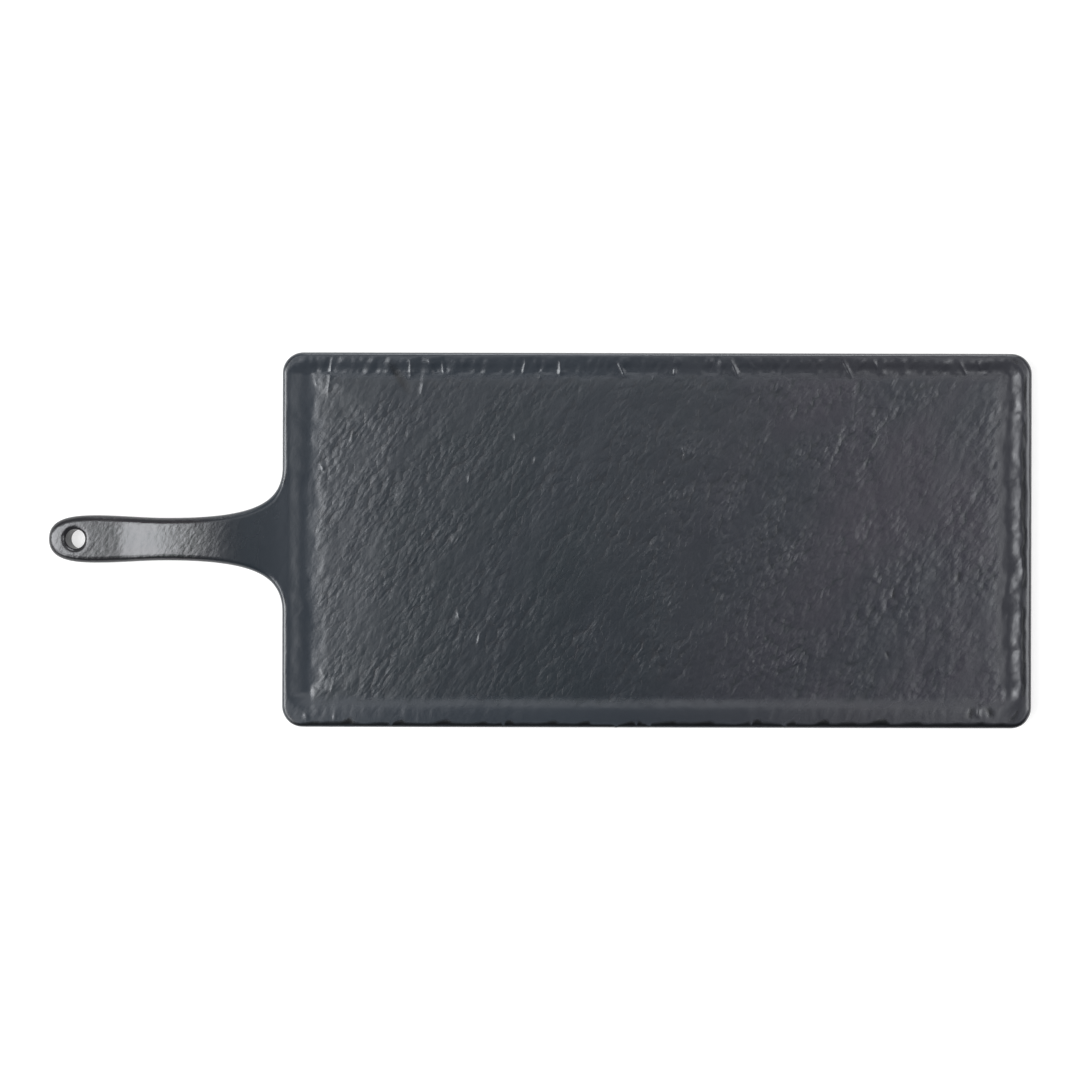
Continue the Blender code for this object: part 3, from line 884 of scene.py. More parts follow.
def edge_raggedness(plan, relief, loop):
    """How much wider or tighter the upper edge's round is at each point of the outline, and how far
    the lower side is chipped there."""
    rng = np.random.default_rng(relief.seed + 1)
    count = len(loop)
    wave = np.fft.rfftfreq(count, EDGE_SPACING)
    keep = np.exp(-2 * (math.pi * wave * RAGGED_RUN) ** 2)
    noise = np.fft.irfft(np.fft.rfft(rng.standard_normal(count)) * keep, count)
    inward_x, inward_y = inward(loop).T
    lower, _ = facing(plan, loop)
    on_board = loop[:, 0] > plan.near_x - 1e-6
    amount = 0.2 * np.maximum(inward_x, 0.0) + 0.6 * np.maximum(-inward_x, 0.0)
    amount += 0.6 * np.maximum(inward_y, 0.0)
    noise = np.clip(noise / noise.std(), -RAGGED_LIMIT, RAGGED_LIMIT)
    width = 1 + relief.ragged_edge * on_board * amount * noise
    chips = np.zeros(count)
    place = rng.uniform(0.0, 12.0) * MM
    while place < plan.sizes.board_length:
        run = rng.uniform(5.0, 14.0) * MM
        along = (loop[:, 0] - plan.near_x - place) / run
        wedge = smooth_step(0.0, 0.8, along) * (1 - smooth_step(0.8, 1.0, along))
        chips = np.maximum(chips, rng.uniform(0.2, 0.9) * wedge)
        place += run + rng.uniform(2.0, 16.0) * MM
    for nick in NICKS:
        off = (loop[:, 0] - plan.near_x - nick * MM) / NICK_WIDTH
        chips -= NICK_DEPTH * np.exp(-(off**2))
    return width + (0.45 * chips - 0.2) * lower, chips


def rim_points(plan):
    """Where the skin of the rim has its points: rows along the edges of the board."""
    rows = []
    inset = plan.sizes.edge_round + RIM_START
    while inset < FIELD_INSET - RIM_STOP:
        radius = max(plan.sizes.corner_radius - inset, FIELD_CORNER)
        rows.append(rounded_rectangle(plan, inset, radius, RIM_SPACING, 0.5 * (len(rows) % 2)))
        inset += RIM_ROW
    return np.vstack(rows)


def fold_points(plan):
    """Rows of points along the steep faces of the folds, so that the skin follows them."""
    rows = []
    for fold in FOLDS:
        lean = math.radians(fold.lean)
        u = np.arange(-fold.length / 2, fold.length / 2, FOLD_SPACING)
        for step in FOLD_ROWS:
            v = step * fold.width
            x = fold.from_end + u * math.sin(lean) + v * math.cos(lean)
            y = fold.off_middle + u * math.cos(lean) - v * math.sin(lean)
            rows.append(np.column_stack((plan.near_x + x * MM, y * MM)))
    return np.vstack(rows)


def thinned(points, distance):
    """The points, less those that lie too near an earlier one."""
    cells = np.round(points / distance).astype(int)
    _, first = np.unique(cells, axis=0, return_index=True)
    return points[np.sort(first)]


def top_skin(skin, plan, relief, slate, rim, normals):
    """The top of the board and the handle, from the innermost ring of the edge to the eye's rim."""
    s = plan.sizes
    rim_plan = np.vstack(skin.points)[rim][:, :2]
    eye = circle(plan.eye, s.eye_radius + s.eye_rim_round, EYE_POINTS)
    border = rounded_rectangle(plan, FIELD_INSET, FIELD_CORNER, RIM_SPACING)
    handle = lattice(
        np.array((plan.nose_x, -s.flare_half_width)),
        np.array((plan.near_x + s.edge_round, s.flare_half_width)),
        *HANDLE_SPACING,
        0.0,
    )
    low = np.array((plan.near_x, -plan.half_width)) + FIELD_INSET
    high = np.array((plan.far_x, plan.half_width)) - FIELD_INSET
    folds = thinned(fold_points(plan), FOLD_THINNING)
    field = lattice(low, high, FIELD_SPACING, FIELD_SPACING * math.sqrt(0.75), relief.grain_angle)
    field = np.vstack((folds, field[clear_of(field, (folds,), FOLD_TO_FIELD)]))
    field = field[well_inside(field, border, inward(border), EDGE_CLEARANCE)]
    around = np.vstack((rim_points(plan), handle))
    around = np.vstack((folds, around[clear_of(around, (folds,), FOLD_TO_RIM)]))
    around = around[~inside_even(around, border)]
    around = around[well_inside(around, rim_plan, normals, EDGE_CLEARANCE)]
    around = around[clear_of(around, (eye, border), RING_CLEARANCE)]
    around = around[np.hypot(*(around - plan.eye).T) > s.eye_radius + s.eye_rim_round]

    def add(places):
        on_board = places[:, 0] > plan.near_x
        tray = on_board * read_map(slate.height, slate, places[:, 0], places[:, 1])
        fall = root_fall(plan, places[:, 0], places[:, 1])
        return skin.add_points(places, plan.top_height(places[:, 0]) + tray - fall)

    eye_top, border_ring, around_points, field_points = (add(p) for p in (eye, border, around, field))
    outer = fill_sheet(rim_plan, [eye, border], around)
    skin.add_faces(np.concatenate((rim, eye_top, border_ring, around_points))[outer])
    inner = fill_sheet(border, [], field)
    skin.add_faces(np.concatenate((border_ring, field_points))[inner])
    return eye_top


def recess_height(plan, places):
    """Height of the underside of the board: its standing rim, and the recess with its rounded wall."""
    s = plan.sizes
    middle = np.array(((plan.near_x + plan.far_x) / 2, 0.0))
    half = np.array((s.board_length / 2, plan.half_width)) - s.base_rim_width - s.recess_corner_radius
    past = np.abs(places - middle) - half
    outside = np.hypot(*np.maximum(past, 0.0).T) + np.minimum(past.max(axis=1), 0.0)
    depth = s.recess_corner_radius - outside
    wall = smooth_step(-0.2 * MM, s.recess_wall_run + 0.2 * MM, depth)
    return plan.base_height(places[:, 0]) + s.recess_depth * wall


def foot_centres():
    """Where the feet stand, by node."""
    centres = {}
    for node in FOOT_NODES:
        low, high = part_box(node)
        centres[node] = np.array(((low.x + high.x) / 2, (low.y + high.y) / 2))
    return centres


def base_skin(skin, plan, base, normals):
    """The underside: standing rim, recess, handle, and the sockets of the feet."""
    s = plan.sizes
    base_plan = np.vstack(skin.points)[base][:, :2]
    eye = circle(plan.eye_base, s.eye_radius + s.eye_base_round, EYE_POINTS)
    socket_radius = s.foot_stem_radius + s.seat_gap
    centres = foot_centres().values()
    sockets = [circle(centre, socket_radius, SOCKET_POINTS) for centre in centres]
    rings = [circle(centre, radius, SOCKET_POINTS) for centre in centres for radius in SOCKET_RINGS]
    wall = [
        rounded_rectangle(plan, s.base_rim_width + d, s.recess_corner_radius - d, WALL_SPACING)
        for d in np.linspace(-WALL_MARGIN, s.recess_wall_run / MM + WALL_MARGIN, WALL_ROWS) * MM
    ]
    low = np.array((plan.near_x, -plan.half_width)) + s.base_rim_width + BASE_MARGIN
    high = np.array((plan.far_x, plan.half_width)) - s.base_rim_width - BASE_MARGIN
    floor = lattice(low, high, BASE_SPACING, BASE_SPACING, 0.0)
    handle = lattice(
        np.array((plan.nose_x, -s.flare_half_width)),
        np.array((plan.near_x + NECK_OVERLAP, s.flare_half_width)),
        WALL_SPACING,
        WALL_SPACING,
        0.0,
    )
    floor = floor[clear_of(floor, (*rings, *sockets), FLOOR_TO_SOCKETS)]
    extra = np.vstack((*wall, *rings, floor, handle))
    extra = extra[well_inside(extra, base_plan, normals, BASE_EDGE_CLEARANCE)]
    extra = extra[clear_of(extra, (eye,), BASE_EYE_CLEARANCE)]
    extra = extra[np.hypot(*(extra - plan.eye_base).T) > s.eye_radius + s.eye_base_round]
    for centre in centres:
        extra = extra[np.hypot(*(extra - centre).T) > socket_radius + SOCKET_CLEARANCE]
    triangles = fill_sheet(base_plan, [eye, *sockets], extra)
    eye_base = skin.add_points(eye, plan.base_height(eye[:, 0]))
    mouths = [skin.add_points(hole, plan.recess_floor) for hole in sockets]
    inner = skin.add_points(extra, recess_height(plan, extra))
    skin.add_faces(np.concatenate((base, eye_base, *mouths, inner))[triangles][:, ::-1])
    for hole, mouth in zip(sockets, mouths):
        end = skin.add_points(hole, plan.recess_floor + s.foot_stem_length)
        skin.add_band(end, mouth)
        centre = skin.add_points(hole.mean(axis=0)[None], plan.recess_floor + s.foot_stem_length)
        skin.add_faces(np.column_stack((np.roll(end, -1), end, np.full(len(end), centre[0]))))
    return eye_base


def eye_wall(skin, plan, eye_top, eye_base):
    """The inside of the hanging eye, with its rims rounded."""
    s = plan.sizes
    rings = [eye_top]
    turns = np.linspace(0.0, math.pi / 2, EYE_TURNS)[1:]
    for turn in turns:
        ring = circle(plan.eye, s.eye_radius + s.eye_rim_round * (1 - math.sin(turn)), EYE_POINTS)
        depth = s.eye_rim_round * (1 - math.cos(turn))
        rings.append(skin.add_points(ring, plan.top_height(ring[:, 0]) - depth))
    for turn in turns[::-2]:
        ring = circle(plan.eye_base, s.eye_radius + s.eye_base_round * (1 - math.sin(turn)), EYE_POINTS)
        depth = s.eye_base_round * (1 - math.cos(turn))
        rings.append(skin.add_points(ring, plan.base_height(ring[:, 0]) + depth))
    rings.append(eye_base)
    for upper, lower in zip(rings, rings[1:]):
        skin.add_band(upper, lower)


def build_moulding(plan, relief):
    """The whole moulding as one closed skin, with the share of riven slate, the depth of its grain and the
    painted shade at each point.
    """
    s = plan.sizes
    slate = slate_map(plan, relief)
    skin = Skin()
    loop = plan.outline(EDGE_SPACING)
    normals = inward(loop)
    rings = []
    for turn in np.linspace(0.0, math.pi / 2, BASE_RINGS + 1):
        places = loop + normals * (s.side_draft + s.base_round * (1 - math.sin(turn)))
        lift = s.base_round * (1 - math.cos(turn))
        rings.append(skin.add_points(places, plan.base_height(places[:, 0]) + lift))
    front, far = facing(plan, loop)
    on_board = smooth_step(-8 * MM, 0.0, loop[:, 0] - plan.near_x)
    wide = s.handle_edge_round + (s.edge_round - s.handle_edge_round) * on_board
    wide += (s.front_edge_round - s.edge_round) * front + (s.far_edge_round - s.edge_round) * far
    width, chips = edge_raggedness(plan, relief, loop)
    ragged = wide * width
    tall = s.handle_edge_round + (s.edge_drop - s.handle_edge_round) * on_board
    tall += (s.front_edge_drop - s.edge_drop) * front
    for turn in np.linspace(0.0, math.pi / 2, ROUND_RINGS + 1):
        places = loop + normals * (ragged * (1 - math.cos(turn)))[:, None]
        drop = tall * (1 - math.sin(turn))
        rings.append(skin.add_points(places, plan.top_height(places[:, 0]) - drop))
    for lower, upper in zip(rings, rings[1:]):
        skin.add_band(lower, upper)
    eye_top = top_skin(skin, plan, relief, slate, rings[-1], normals)
    eye_base = base_skin(skin, plan, rings[0], normals)
    eye_wall(skin, plan, eye_top, eye_base)
    mesh = skin.to_mesh("paddle")
    points = np.vstack(skin.points)
    on_top = points[:, 2] > plan.rim_top - s.groove_depth - 1 * MM
    on_board = on_top * (points[:, 0] > plan.near_x)
    layers = {
        name: on_board * read_map(field, slate, points[:, 0], points[:, 1])
        for name, field in (("slate", slate.slate), ("grain", slate.grain), ("cavity", slate.cavity))
    }
    near = smooth_step(*FACING, normals[:, 0]) * (loop[:, 0] > plan.near_x - 1 * MM)
    edge_rings = rings[BASE_RINGS + 1 :]
    # Painted shade on the edge rings: under the lower side, deeper where it is chipped, and just inside the
    # edge at the board's handle end
    for ring, lower, chipped, inner in zip(edge_rings, EDGE_SHADE_LOWER, EDGE_SHADE_CHIPS, EDGE_SHADE_NEAR):
        edge_shade = front * np.clip(lower + chipped * chips, 0.0, 1.0) + near * inner
        layers["cavity"][ring] = np.maximum(layers["cavity"][ring], edge_shade)
    for name, values in layers.items():
        layer = mesh.attributes.new(name, "FLOAT", "POINT")
        layer.data.foreach_set("value", values.astype(np.float32))
    return mesh


# The feet

FOOT_POINTS = 64
FOOT_SHOULDER = 0.4 * MM
FOOT_GROOVE_PLACE = 0.52
FOOT_GROOVE_HALF_WIDTH = 0.9 * MM
FOOT_GROOVE_DEPTH = 0.35 * MM


def foot_profile(sizes):
    """Radii and heights of a foot, from the top of its ribbed stem round to the flat it stands on."""
    seat = MOULDING_LOW.z + sizes.recess_depth - sizes.seat_gap
    top = seat + sizes.foot_stem_length
    core = sizes.foot_stem_radius - sizes.foot_rib_rise
    head = (FOOT_HIGH.x - FOOT_LOW.x) / 2
    pitch = sizes.foot_stem_length / (sizes.foot_rib_count + 1)
    shoulder = FOOT_SHOULDER
    profile = [(core - shoulder, top), (core, top - shoulder)]
    for i in range(sizes.foot_rib_count):
        middle = top - pitch * (i + 1)
        for step in np.linspace(-1.0, 1.0, 7):
            bulge = sizes.foot_rib_rise * math.cos(step * math.pi / 2)
            profile.append((core + bulge, middle - step * sizes.foot_rib_rise))
    profile += [(core, seat), (head - shoulder, seat)]
    for turn in np.linspace(0.2, math.pi / 2, 4):
        profile.append((head - shoulder * (1 - math.sin(turn)), seat - shoulder * (1 - math.cos(turn))))
    for turn in np.linspace(0.0, math.pi / 2, 9):
        edge = sizes.foot_edge_round
        profile.append((head - edge * (1 - math.cos(turn)), edge * (1 - math.sin(turn))))
    for step in np.linspace(-1.0, 1.0, 9):
        radius = FOOT_GROOVE_PLACE * head - step * FOOT_GROOVE_HALF_WIDTH
        profile.append((radius, FOOT_GROOVE_DEPTH * math.cos(step * math.pi / 2)))
    return profile


def build_foot(name, centre, profile):
    """One turned foot as a closed skin."""
    skin = Skin()
    rings = [skin.add_points(circle(centre, radius, FOOT_POINTS), height) for radius, height in profile]
    for upper, lower in zip(rings, rings[1:]):
        skin.add_band(lower, upper)
    for ring, height, flip in ((rings[0], profile[0][1], 1), (rings[-1], profile[-1][1], -1)):
        middle = skin.add_points(np.asarray(centre)[None], height)
        fan = np.column_stack((ring, np.roll(ring, -1), np.full(FOOT_POINTS, middle[0])))
        skin.add_faces(fan[:, ::flip])
    return skin.to_mesh(name)


# Materials

# Stretches of the paddle's length, from one X to another, over which its finish changes
PAD_END = (-0.230, -0.200)
HANDLE_END = (-0.185, -0.155)
NECK_END = (-0.150, -0.134)
# Between the next two stretches the cool clouds darken as painted shade towards the lower side
LOWER_SHADE_START = (-0.10, -0.01)
LOWER_SHADE_END = (0.09, 0.17)
WARM_START = (0.02, 0.17)

MELAMINE_IOR = 1.6
MELAMINE_SHEEN = (0.98, 1.0, 1.03, 1.0)
RIM_ROUGHNESS_SPREAD = 0.03
SILICONE_ROUGHNESS_SPREAD = 0.08

# How far out from the middle the floor's glow rises to full white
GLOW_RUN = (0.8, 2.6)


def add_node(tree, kind, **settings):
    node = tree.nodes.new(kind)
    for key, value in settings.items():
        setattr(node, key, value)
    return node


def feed(tree, socket, value):
    """Links another node's output to a socket, or sets the socket to a plain value."""
    if isinstance(value, bpy.types.NodeSocket):
        tree.links.new(value, socket)
    else:
        socket.default_value = value


def feed_all(tree, node, values):
    for key, value in values.items():
        feed(tree, node.inputs[key], value)


def math_node(tree, operation, *values):
    node = add_node(tree, "ShaderNodeMath", operation=operation)
    feed_all(tree, node, dict(enumerate(values)))
    return node.outputs["Value"]


def vector_node(tree, operation, *values):
    node = add_node(tree, "ShaderNodeVectorMath", operation=operation)
    feed_all(tree, node, dict(enumerate(values)))
    return node.outputs["Value" if operation in ("DOT_PRODUCT", "LENGTH") else "Vector"]


def noise_node(tree, place, scale, detail, roughness):
    node = add_node(tree, "ShaderNodeTexNoise")
    feed_all(tree, node, {"Vector": place, "Scale": scale, "Detail": detail, "Roughness": roughness})
    return node


def ramp(tree, source, low, high, to_low=0.0, to_high=1.0, **settings):
    """A value mapped from one range to another, kept inside the second."""
    node = add_node(tree, "ShaderNodeMapRange", **settings)
    feed_all(tree, node, {"From Min": low, "From Max": high, "To Min": to_low, "To Max": to_high})
    feed(tree, node.inputs["Value"], source)
    return node.outputs["Result"]


def bump_node(tree, height, distance, strength):
    node = add_node(tree, "ShaderNodeBump")
    feed_all(tree, node, {"Height": height, "Distance": distance, "Strength": strength})
    return node


def mix_colours(tree, factor, first, second):
    node = add_node(tree, "ShaderNodeMix", data_type="RGBA")
    feed(tree, node.inputs["Factor"], factor)
    colours = [socket for socket in node.inputs if socket.type == "RGBA"]
    for socket, value in zip(colours, (first, second)):
        feed(tree, socket, value if isinstance(value, bpy.types.NodeSocket) else (*value, 1.0))
    return next(socket for socket in node.outputs if socket.type == "RGBA")


def object_place(tree):
    return add_node(tree, "ShaderNodeTexCoord").outputs["Object"]


def along_grain(tree, place, lean, stretch):
    """A place turned into the grain's own directions, and drawn out along it."""
    turn = add_node(tree, "ShaderNodeVectorRotate", rotation_type="Z_AXIS")
    feed_all(tree, turn, {"Vector": place, "Angle": lean})
    factors = add_node(tree, "ShaderNodeCombineXYZ")
    feed_all(tree, factors, {"X": stretch, "Y": 1.0, "Z": 1.0})
    return vector_node(tree, "MULTIPLY", turn.outputs["Vector"], factors.outputs["Vector"])


def shared_group(name, inputs, outputs):
    """A new group of nodes with number sockets, then what it is given and where its results go."""
    group = bpy.data.node_groups.new(name, "ShaderNodeTree")
    for in_out, keys in (("INPUT", inputs), ("OUTPUT", outputs)):
        for key in keys:
            group.interface.new_socket(key, in_out=in_out, socket_type="NodeSocketFloat")
    given = add_node(group, "NodeGroupInput").outputs
    return group, given, add_node(group, "NodeGroupOutput").inputs


def moulded_grain_group():
    """Shared effect: slow mottling of the colour, and a fine grain that may run along one way."""
    name = "moulded_grain"
    if name in bpy.data.node_groups:
        return bpy.data.node_groups[name]
    inputs = ("Lean", "Stretch", "Mottle Scale", "Grain Scale")
    group, given, results = shared_group(name, inputs, ("Mottle", "Second Mottle", "Grain"))
    grained = along_grain(group, object_place(group), given["Lean"], given["Stretch"])
    for key, scale, detail, shift in (
        ("Mottle", "Mottle Scale", 4.0, 0.0),
        ("Second Mottle", "Mottle Scale", 3.0, 5.3),
        ("Grain", "Grain Scale", 2.0, 0.0),
    ):
        moved = vector_node(group, "ADD", grained, (shift, shift, shift))
        noise = noise_node(group, moved, given[scale], detail, 0.55)
        feed(group, results[key], noise.outputs["Fac"])
    return group


def riven_flakes_group():
    """Effect of the riven field: split layers that end in wandering scarps along the grain, chipped facets
    that each lean their own way, and fine lumps; also where the creases between the facets lie, for painted
    shade."""
    name = "riven_flakes"
    if name in bpy.data.node_groups:
        return bpy.data.node_groups[name]
    inputs = ("Lean", "Stretch", "Scale", "Wander", "Layers", "Riser", "Steps", "Facets", "Tilt", "Lumps")
    group, given, results = shared_group(name, inputs, ("Height", "Crease"))
    scale = given["Scale"]
    place = object_place(group)
    wander = noise_node(group, place, math_node(group, "MULTIPLY", scale, 0.45), 2.0, 0.5)
    centred = vector_node(group, "SUBTRACT", wander.outputs["Color"], (0.5, 0.5, 0.5))
    shift = vector_node(group, "MULTIPLY", centred, given["Wander"])
    moved = vector_node(group, "ADD", place, shift)
    grained = along_grain(group, moved, given["Lean"], given["Stretch"])

    layers = noise_node(group, grained, scale, 1.0, 0.5).outputs["Fac"]
    levels = math_node(group, "MULTIPLY", layers, given["Layers"])
    tread = math_node(group, "FLOOR", levels)
    part = math_node(group, "SUBTRACT", levels, tread)
    riser = ramp(group, part, 0.0, given["Riser"], interpolation_type="SMOOTHSTEP")
    stepped = math_node(group, "DIVIDE", math_node(group, "ADD", tread, riser), given["Layers"])
    stepped = math_node(group, "MULTIPLY", stepped, given["Steps"])

    cells = add_node(group, "ShaderNodeTexVoronoi", voronoi_dimensions="2D", distance="MANHATTAN")
    feed_all(group, cells, {"Vector": grained, "Scale": scale})
    own_lean = vector_node(group, "SUBTRACT", cells.outputs["Color"], (0.5, 0.5, 0.0))
    own_lean = vector_node(group, "MULTIPLY", own_lean, (1.0, 1.0, 0.0))
    offset = vector_node(group, "SUBTRACT", grained, cells.outputs["Position"])
    facets = math_node(group, "MULTIPLY", vector_node(group, "DOT_PRODUCT", offset, own_lean), scale)
    facets = math_node(group, "MULTIPLY", facets, given["Tilt"])
    facets = math_node(group, "SUBTRACT", facets, cells.outputs["Distance"])
    facets = math_node(group, "MULTIPLY", facets, given["Facets"])

    fine = noise_node(group, grained, math_node(group, "MULTIPLY", scale, 2.1), 2.0, 0.5).outputs["Fac"]
    lumps = math_node(group, "MULTIPLY", fine, given["Lumps"])
    height = math_node(group, "ADD", math_node(group, "ADD", stepped, lumps), facets)
    feed(group, results["Height"], height)
    # Where the creases between facets lie, which the melamine darkens as painted shade
    crease_shade = ramp(group, cells.outputs["Distance"], 0.58, 1.0, interpolation_type="SMOOTHSTEP")
    feed(group, results["Crease"], crease_shade)
    return group


def use_group(tree, group, settings):
    node = add_node(tree, "ShaderNodeGroup", node_tree=group)
    feed_all(tree, node, settings)
    return node.outputs


def new_material(name):
    material = bpy.data.materials.new(name)
    material.use_nodes = True
    tree = material.node_tree
    return material, tree, tree.nodes["Principled BSDF"]


def point_value(tree, name):
    """A value that the mesh holds at each of its points."""
    return add_node(tree, "ShaderNodeAttribute", attribute_name=name).outputs["Fac"]


def slate_colours(tree, finish, grain, place):
    """Colours of the field, with cool clouds that thicken as painted shade towards its lower side in the
    middle and a warmer far end, and of the smooth rim round it.
    """
    # Painted shade: more of the dark cool colour towards the field's lower side, less towards its upper
    # side, in the middle of the board.
    shade = ramp(tree, place["Y"], -0.1, 0.1, 0.20, -0.10)
    shade = math_node(tree, "MULTIPLY", shade, ramp(tree, place["X"], *LOWER_SHADE_START))
    shade = math_node(tree, "MULTIPLY", shade, ramp(tree, place["X"], *LOWER_SHADE_END, 1.0, 0.0))
    cool = ramp(tree, math_node(tree, "ADD", grain["Mottle"], shade), 0.44, 0.60)
    along = ramp(tree, place["X"], *WARM_START, 0.1, 1.0)
    patch = ramp(tree, grain["Second Mottle"], 0.36, 0.60, 0.4, 1.0)
    warm = math_node(tree, "MULTIPLY", along, patch)
    field = mix_colours(tree, cool, finish.slate_grey, finish.cool_slate_and_shade)
    field = mix_colours(tree, warm, field, finish.slate_warm)
    return field, mix_colours(tree, along, finish.rim_blue, finish.rim_grey)


def melamine_material(finish, relief):
    """Satin melamine: bluish slate grey with faint clouds, duller and grainy on the riven field; painted
    shade darkens its creases, cracks, sunken chips, lower edge and lower side, and the handle takes a
    darker, neutral copy as painted shade.
    """
    material, tree, shader = new_material("slate_melamine")
    shader.inputs["IOR"].default_value = MELAMINE_IOR
    shader.inputs["Specular Tint"].default_value = MELAMINE_SHEEN
    lean = -relief.grain_angle
    grain_look = {"Lean": lean, "Stretch": 0.6, "Mottle Scale": 20.0, "Grain Scale": 340.0}
    grain = use_group(tree, moulded_grain_group(), grain_look)
    flake_look = {"Lean": lean, "Stretch": 0.50, "Scale": 350.0, "Wander": 0.0016, "Layers": 4.0}
    flake_look |= {"Riser": 0.8, "Steps": 0.25, "Facets": 0.46, "Tilt": 0.8, "Lumps": 0.34}
    flakes = use_group(tree, riven_flakes_group(), flake_look)
    place = add_node(tree, "ShaderNodeSeparateXYZ")
    feed(tree, place.inputs["Vector"], object_place(tree))
    place = place.outputs
    riven = point_value(tree, "slate")
    depth = point_value(tree, "grain")
    on_handle = ramp(tree, place["X"], *HANDLE_END, 1.0, 0.0)

    field, rim = slate_colours(tree, finish, grain, place)
    off_rim = math_node(tree, "MAXIMUM", riven, ramp(tree, place["X"], *NECK_END, 0.45, 0.0))
    base = mix_colours(tree, off_rim, rim, field)
    # Painted shade: the handle takes a darker, neutral copy of the melamine.
    base = mix_colours(tree, on_handle, base, finish.handle_shaded_grey)
    # Painted shade: the field darkens to a deep blue in the creases between facets
    crease_shade = math_node(tree, "MULTIPLY", flakes["Crease"], depth)
    base = mix_colours(tree, crease_shade, base, finish.crease_shade_blue)
    # Painted shade: the colour turns near black in the crack, the sunken chips and on the shaded edge rings.
    base = mix_colours(tree, point_value(tree, "cavity"), base, finish.painted_shade_black)
    feed(tree, shader.inputs["Base Color"], base)

    low = finish.rim_roughness - RIM_ROUGHNESS_SPREAD
    high = finish.rim_roughness + RIM_ROUGHNESS_SPREAD
    rough = ramp(tree, grain["Mottle"], 0.3, 0.7, low, high)
    rough = math_node(tree, "MULTIPLY_ADD", riven, finish.field_roughness - finish.rim_roughness, rough)
    feed(tree, shader.inputs["Roughness"], rough)

    crinkle = ramp(tree, on_handle, 0.0, 1.0, 0.4, 1.0)
    crinkle = math_node(tree, "MULTIPLY", crinkle, ramp(tree, place["X"], *PAD_END, 0.95, 1.15))
    soft = bump_node(tree, grain["Grain"], relief.soft_depth, crinkle)
    bump = bump_node(tree, flakes["Height"], relief.grain_depth, ramp(tree, depth, 0.0, 1.5))
    feed(tree, bump.inputs["Normal"], soft.outputs["Normal"])
    feed(tree, shader.inputs["Normal"], bump.outputs["Normal"])
    return material


def silicone_material(finish):
    """Matt black silicone with a fine moulded grain and a trace of dust."""
    material, tree, shader = new_material("black_silicone")
    grain_look = {"Lean": 0.0, "Stretch": 1.0, "Mottle Scale": 160.0, "Grain Scale": 2400.0}
    grain = use_group(tree, moulded_grain_group(), grain_look)
    dusty = [min(3 * part, 1.0) for part in finish.silicone_black]
    dust = ramp(tree, grain["Mottle"], 0.50, 0.75, 0.0, 0.5)
    feed(tree, shader.inputs["Base Color"], mix_colours(tree, dust, finish.silicone_black, dusty))
    low = finish.silicone_roughness - SILICONE_ROUGHNESS_SPREAD
    high = finish.silicone_roughness + SILICONE_ROUGHNESS_SPREAD
    feed(tree, shader.inputs["Roughness"], ramp(tree, grain["Second Mottle"], 0.3, 0.7, low, high))
    bump = bump_node(tree, grain["Grain"], 0.05 * MM, 0.25)
    feed(tree, shader.inputs["Normal"], bump.outputs["Normal"])
    return material


def lookers(tree):
    """1 where the camera looks, then 1 where a reflection or a clear piece does."""
    path = add_node(tree, "ShaderNodeLightPath").outputs
    bounce = math_node(tree, "MAXIMUM", path["Is Glossy Ray"], path["Is Transmission Ray"])
    return path["Is Camera Ray"], bounce


def floor_material(stage):
    """Pale floor: lit by the lamps, so that it keeps the shadow, and topped up to white for the camera."""
    material, tree, shader = new_material("studio_floor")
    shader.inputs["Base Color"].default_value = (*stage.floor_white, 1.0)
    shader.inputs["Roughness"].default_value = 1.0
    shader.inputs["Specular IOR Level"].default_value = 0.0
    shader.inputs["Emission Color"].default_value = (1.0, 1.0, 1.0, 1.0)
    out = vector_node(tree, "LENGTH", object_place(tree))
    glow = ramp(tree, out, *GLOW_RUN, stage.floor_glow, 1.0)
    seen = math_node(tree, "MAXIMUM", *lookers(tree))
    feed(tree, shader.inputs["Emission Strength"], math_node(tree, "MULTIPLY", glow, seen))
    return material


# Stage

Lamp = namedtuple("Lamp", "name place wide deep radiance")
LAMPS = (
    Lamp("key_softbox", (-1.97, 0.0, 2.03), 1.10, 2.36, 9.0),
    Lamp("key_wing", (-1.80, -1.20, 1.95), 1.00, 1.40, 5.4),
    Lamp("key_feather", (-0.84, 0.0, 2.75), 1.40, 0.42, 3.0),
    Lamp("fill_softbox", (2.15, 0.0, 2.05), 1.10, 2.10, 4.0),
    Lamp("fill_feather", (1.08, 0.0, 2.75), 1.40, 0.60, 1.3),
    Lamp("back_feather", (0.06, 0.92, 2.60), 1.60, 0.76, 1.0),
    Lamp("front_feather", (0.06, -0.95, 2.60), 1.60, 0.70, 0.20),
    Lamp("back_strip", (0.22, 2.20, 0.90), 1.35, 0.90, 6.0),
)


def add_lamp(lamp):
    """A rectangular softbox that faces the paddle and stays out of the picture."""
    data = bpy.data.lights.new(lamp.name, "AREA")
    data.shape = "RECTANGLE"
    data.size = lamp.wide
    data.size_y = lamp.deep
    data.energy = lamp.radiance * math.pi * lamp.wide * lamp.deep
    obj = bpy.data.objects.new(lamp.name, data)
    obj.location = lamp.place
    obj.rotation_euler = (-obj.location).to_track_quat("-Z", "Y").to_euler()
    obj.visible_camera = False
    bpy.context.scene.collection.objects.link(obj)


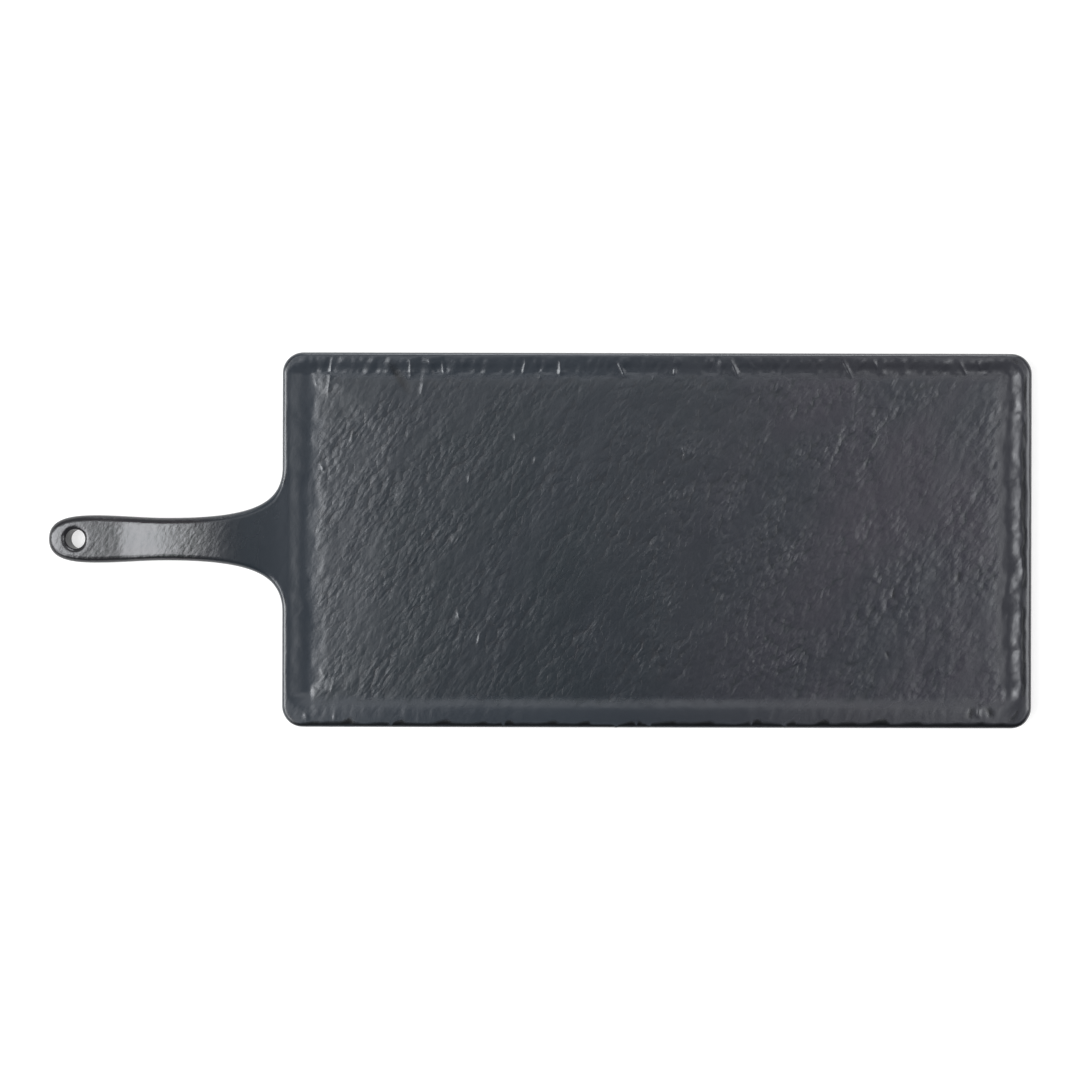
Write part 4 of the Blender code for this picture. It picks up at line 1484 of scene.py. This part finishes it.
def add_world(stage):
    """Soft light from above and behind, with a dark front; the camera sees white all round, and
    reflections see it near the horizon, where the floor ends."""
    world = bpy.data.worlds.new("studio_world")
    world.use_nodes = True
    tree = world.node_tree
    background = tree.nodes["Background"]
    background.inputs["Color"].default_value = (1.0, 1.0, 1.0, 1.0)
    way = add_node(tree, "ShaderNodeSeparateXYZ")
    feed(tree, way.inputs["Vector"], add_node(tree, "ShaderNodeTexCoord").outputs["Generated"])
    front = ramp(tree, way.outputs["Y"], -0.75, -0.25, stage.world_front, stage.world_mid)
    back = ramp(tree, way.outputs["Y"], -0.10, 0.40, 0.0, stage.world_light - stage.world_mid)
    low = ramp(tree, way.outputs["Z"], 0.08, 0.22, 1.0, 0.0)
    camera, bounce = lookers(tree)
    seen = math_node(tree, "MAXIMUM", camera, math_node(tree, "MULTIPLY", bounce, low))
    strength = add_node(tree, "ShaderNodeMix", data_type="FLOAT")
    feed_all(tree, strength, {"Factor": seen, "A": math_node(tree, "ADD", front, back), "B": 1.0})
    feed(tree, background.inputs["Strength"], strength.outputs["Result"])
    bpy.context.scene.world = world


def add_floor(stage):
    half = stage.floor_size / 2
    mesh = bpy.data.meshes.new("studio_floor")
    corners = [(-half, -half, 0), (half, -half, 0), (half, half, 0), (-half, half, 0)]
    mesh.from_pydata(corners, [], [(0, 1, 2, 3)])
    mesh.materials.append(floor_material(stage))
    floor = bpy.data.objects.new("studio_floor", mesh)
    floor.location.z = -0.02 * MM
    bpy.context.scene.collection.objects.link(floor)


def add_camera(stage):
    """The camera straight above the paddle."""
    data = bpy.data.cameras.new("camera")
    data.angle = stage.camera_angle
    camera = bpy.data.objects.new("camera", data)
    camera.location = (stage.camera_x, stage.camera_y, stage.camera_height)
    camera.rotation_euler = (0.0, 0.0, stage.camera_roll)
    bpy.context.scene.collection.objects.link(camera)
    bpy.context.scene.camera = camera


class PADDLE_OT_make_moulding(bpy.types.Operator):
    """Make the board, rim, groove, riven field and handle as one moulding"""

    bl_idname = "paddle.make_moulding"
    bl_label = "Make moulding"

    def execute(self, context):
        scene = context.scene
        mesh = build_moulding(Plan(scene.paddle_sizes), scene.paddle_relief)
        material = melamine_material(scene.paddle_finish, scene.paddle_relief)
        finish_piece("slate_paddle", mesh, material, "paddle_moulding")
        return {"FINISHED"}


class PADDLE_OT_make_feet(bpy.types.Operator):
    """Make the four push-in silicone feet"""

    bl_idname = "paddle.make_feet"
    bl_label = "Make feet"

    def execute(self, context):
        scene = context.scene
        material = silicone_material(scene.paddle_finish)
        profile = foot_profile(scene.paddle_sizes)
        for node, centre in foot_centres().items():
            mesh = build_foot(node, centre, profile)
            finish_piece(node.replace("foot", "silicone_foot"), mesh, material, node)
        return {"FINISHED"}


class PADDLE_OT_make_stage(bpy.types.Operator):
    """Make the camera, the lamps, the floor and the world"""

    bl_idname = "paddle.make_stage"
    bl_label = "Make stage"

    def execute(self, context):
        stage = context.scene.paddle_stage
        context.scene.view_settings.view_transform = "Standard"
        add_camera(stage)
        add_world(stage)
        add_floor(stage)
        for lamp in LAMPS:
            add_lamp(lamp)
        return {"FINISHED"}


class PADDLE_PT_sidebar(bpy.types.Panel):
    """Sizes and finishes of the paddle, and the operators that make it"""

    bl_idname = "PADDLE_PT_sidebar"
    bl_label = "Serving paddle"
    bl_space_type = "VIEW_3D"
    bl_region_type = "UI"
    bl_category = "Paddle"

    def draw(self, context):
        layout = self.layout
        for operator in OPERATORS:
            layout.operator(operator.bl_idname)
        for name, group in GROUPS.items():
            box = layout.box()
            box.label(text=group.__doc__)
            for key in group.__annotations__:
                box.prop(getattr(context.scene, name), key)


GROUPS = {
    "paddle_sizes": PaddleSizes,
    "paddle_relief": SlateRelief,
    "paddle_finish": PaddleFinish,
    "paddle_stage": StudioStage,
}
OPERATORS = (PADDLE_OT_make_moulding, PADDLE_OT_make_feet, PADDLE_OT_make_stage)


def register():
    for cls in (*GROUPS.values(), *OPERATORS, PADDLE_PT_sidebar):
        bpy.utils.register_class(cls)
    for name, group in GROUPS.items():
        setattr(bpy.types.Scene, name, bpy.props.PointerProperty(type=group))


def unregister():
    for name in GROUPS:
        delattr(bpy.types.Scene, name)
    for cls in (PADDLE_PT_sidebar, *reversed(OPERATORS), *reversed(GROUPS.values())):
        bpy.utils.unregister_class(cls)


def main():
    register()
    bpy.ops.paddle.make_moulding()
    bpy.ops.paddle.make_feet()
    bpy.ops.paddle.make_stage()


if __name__ == "__main__":
    main()
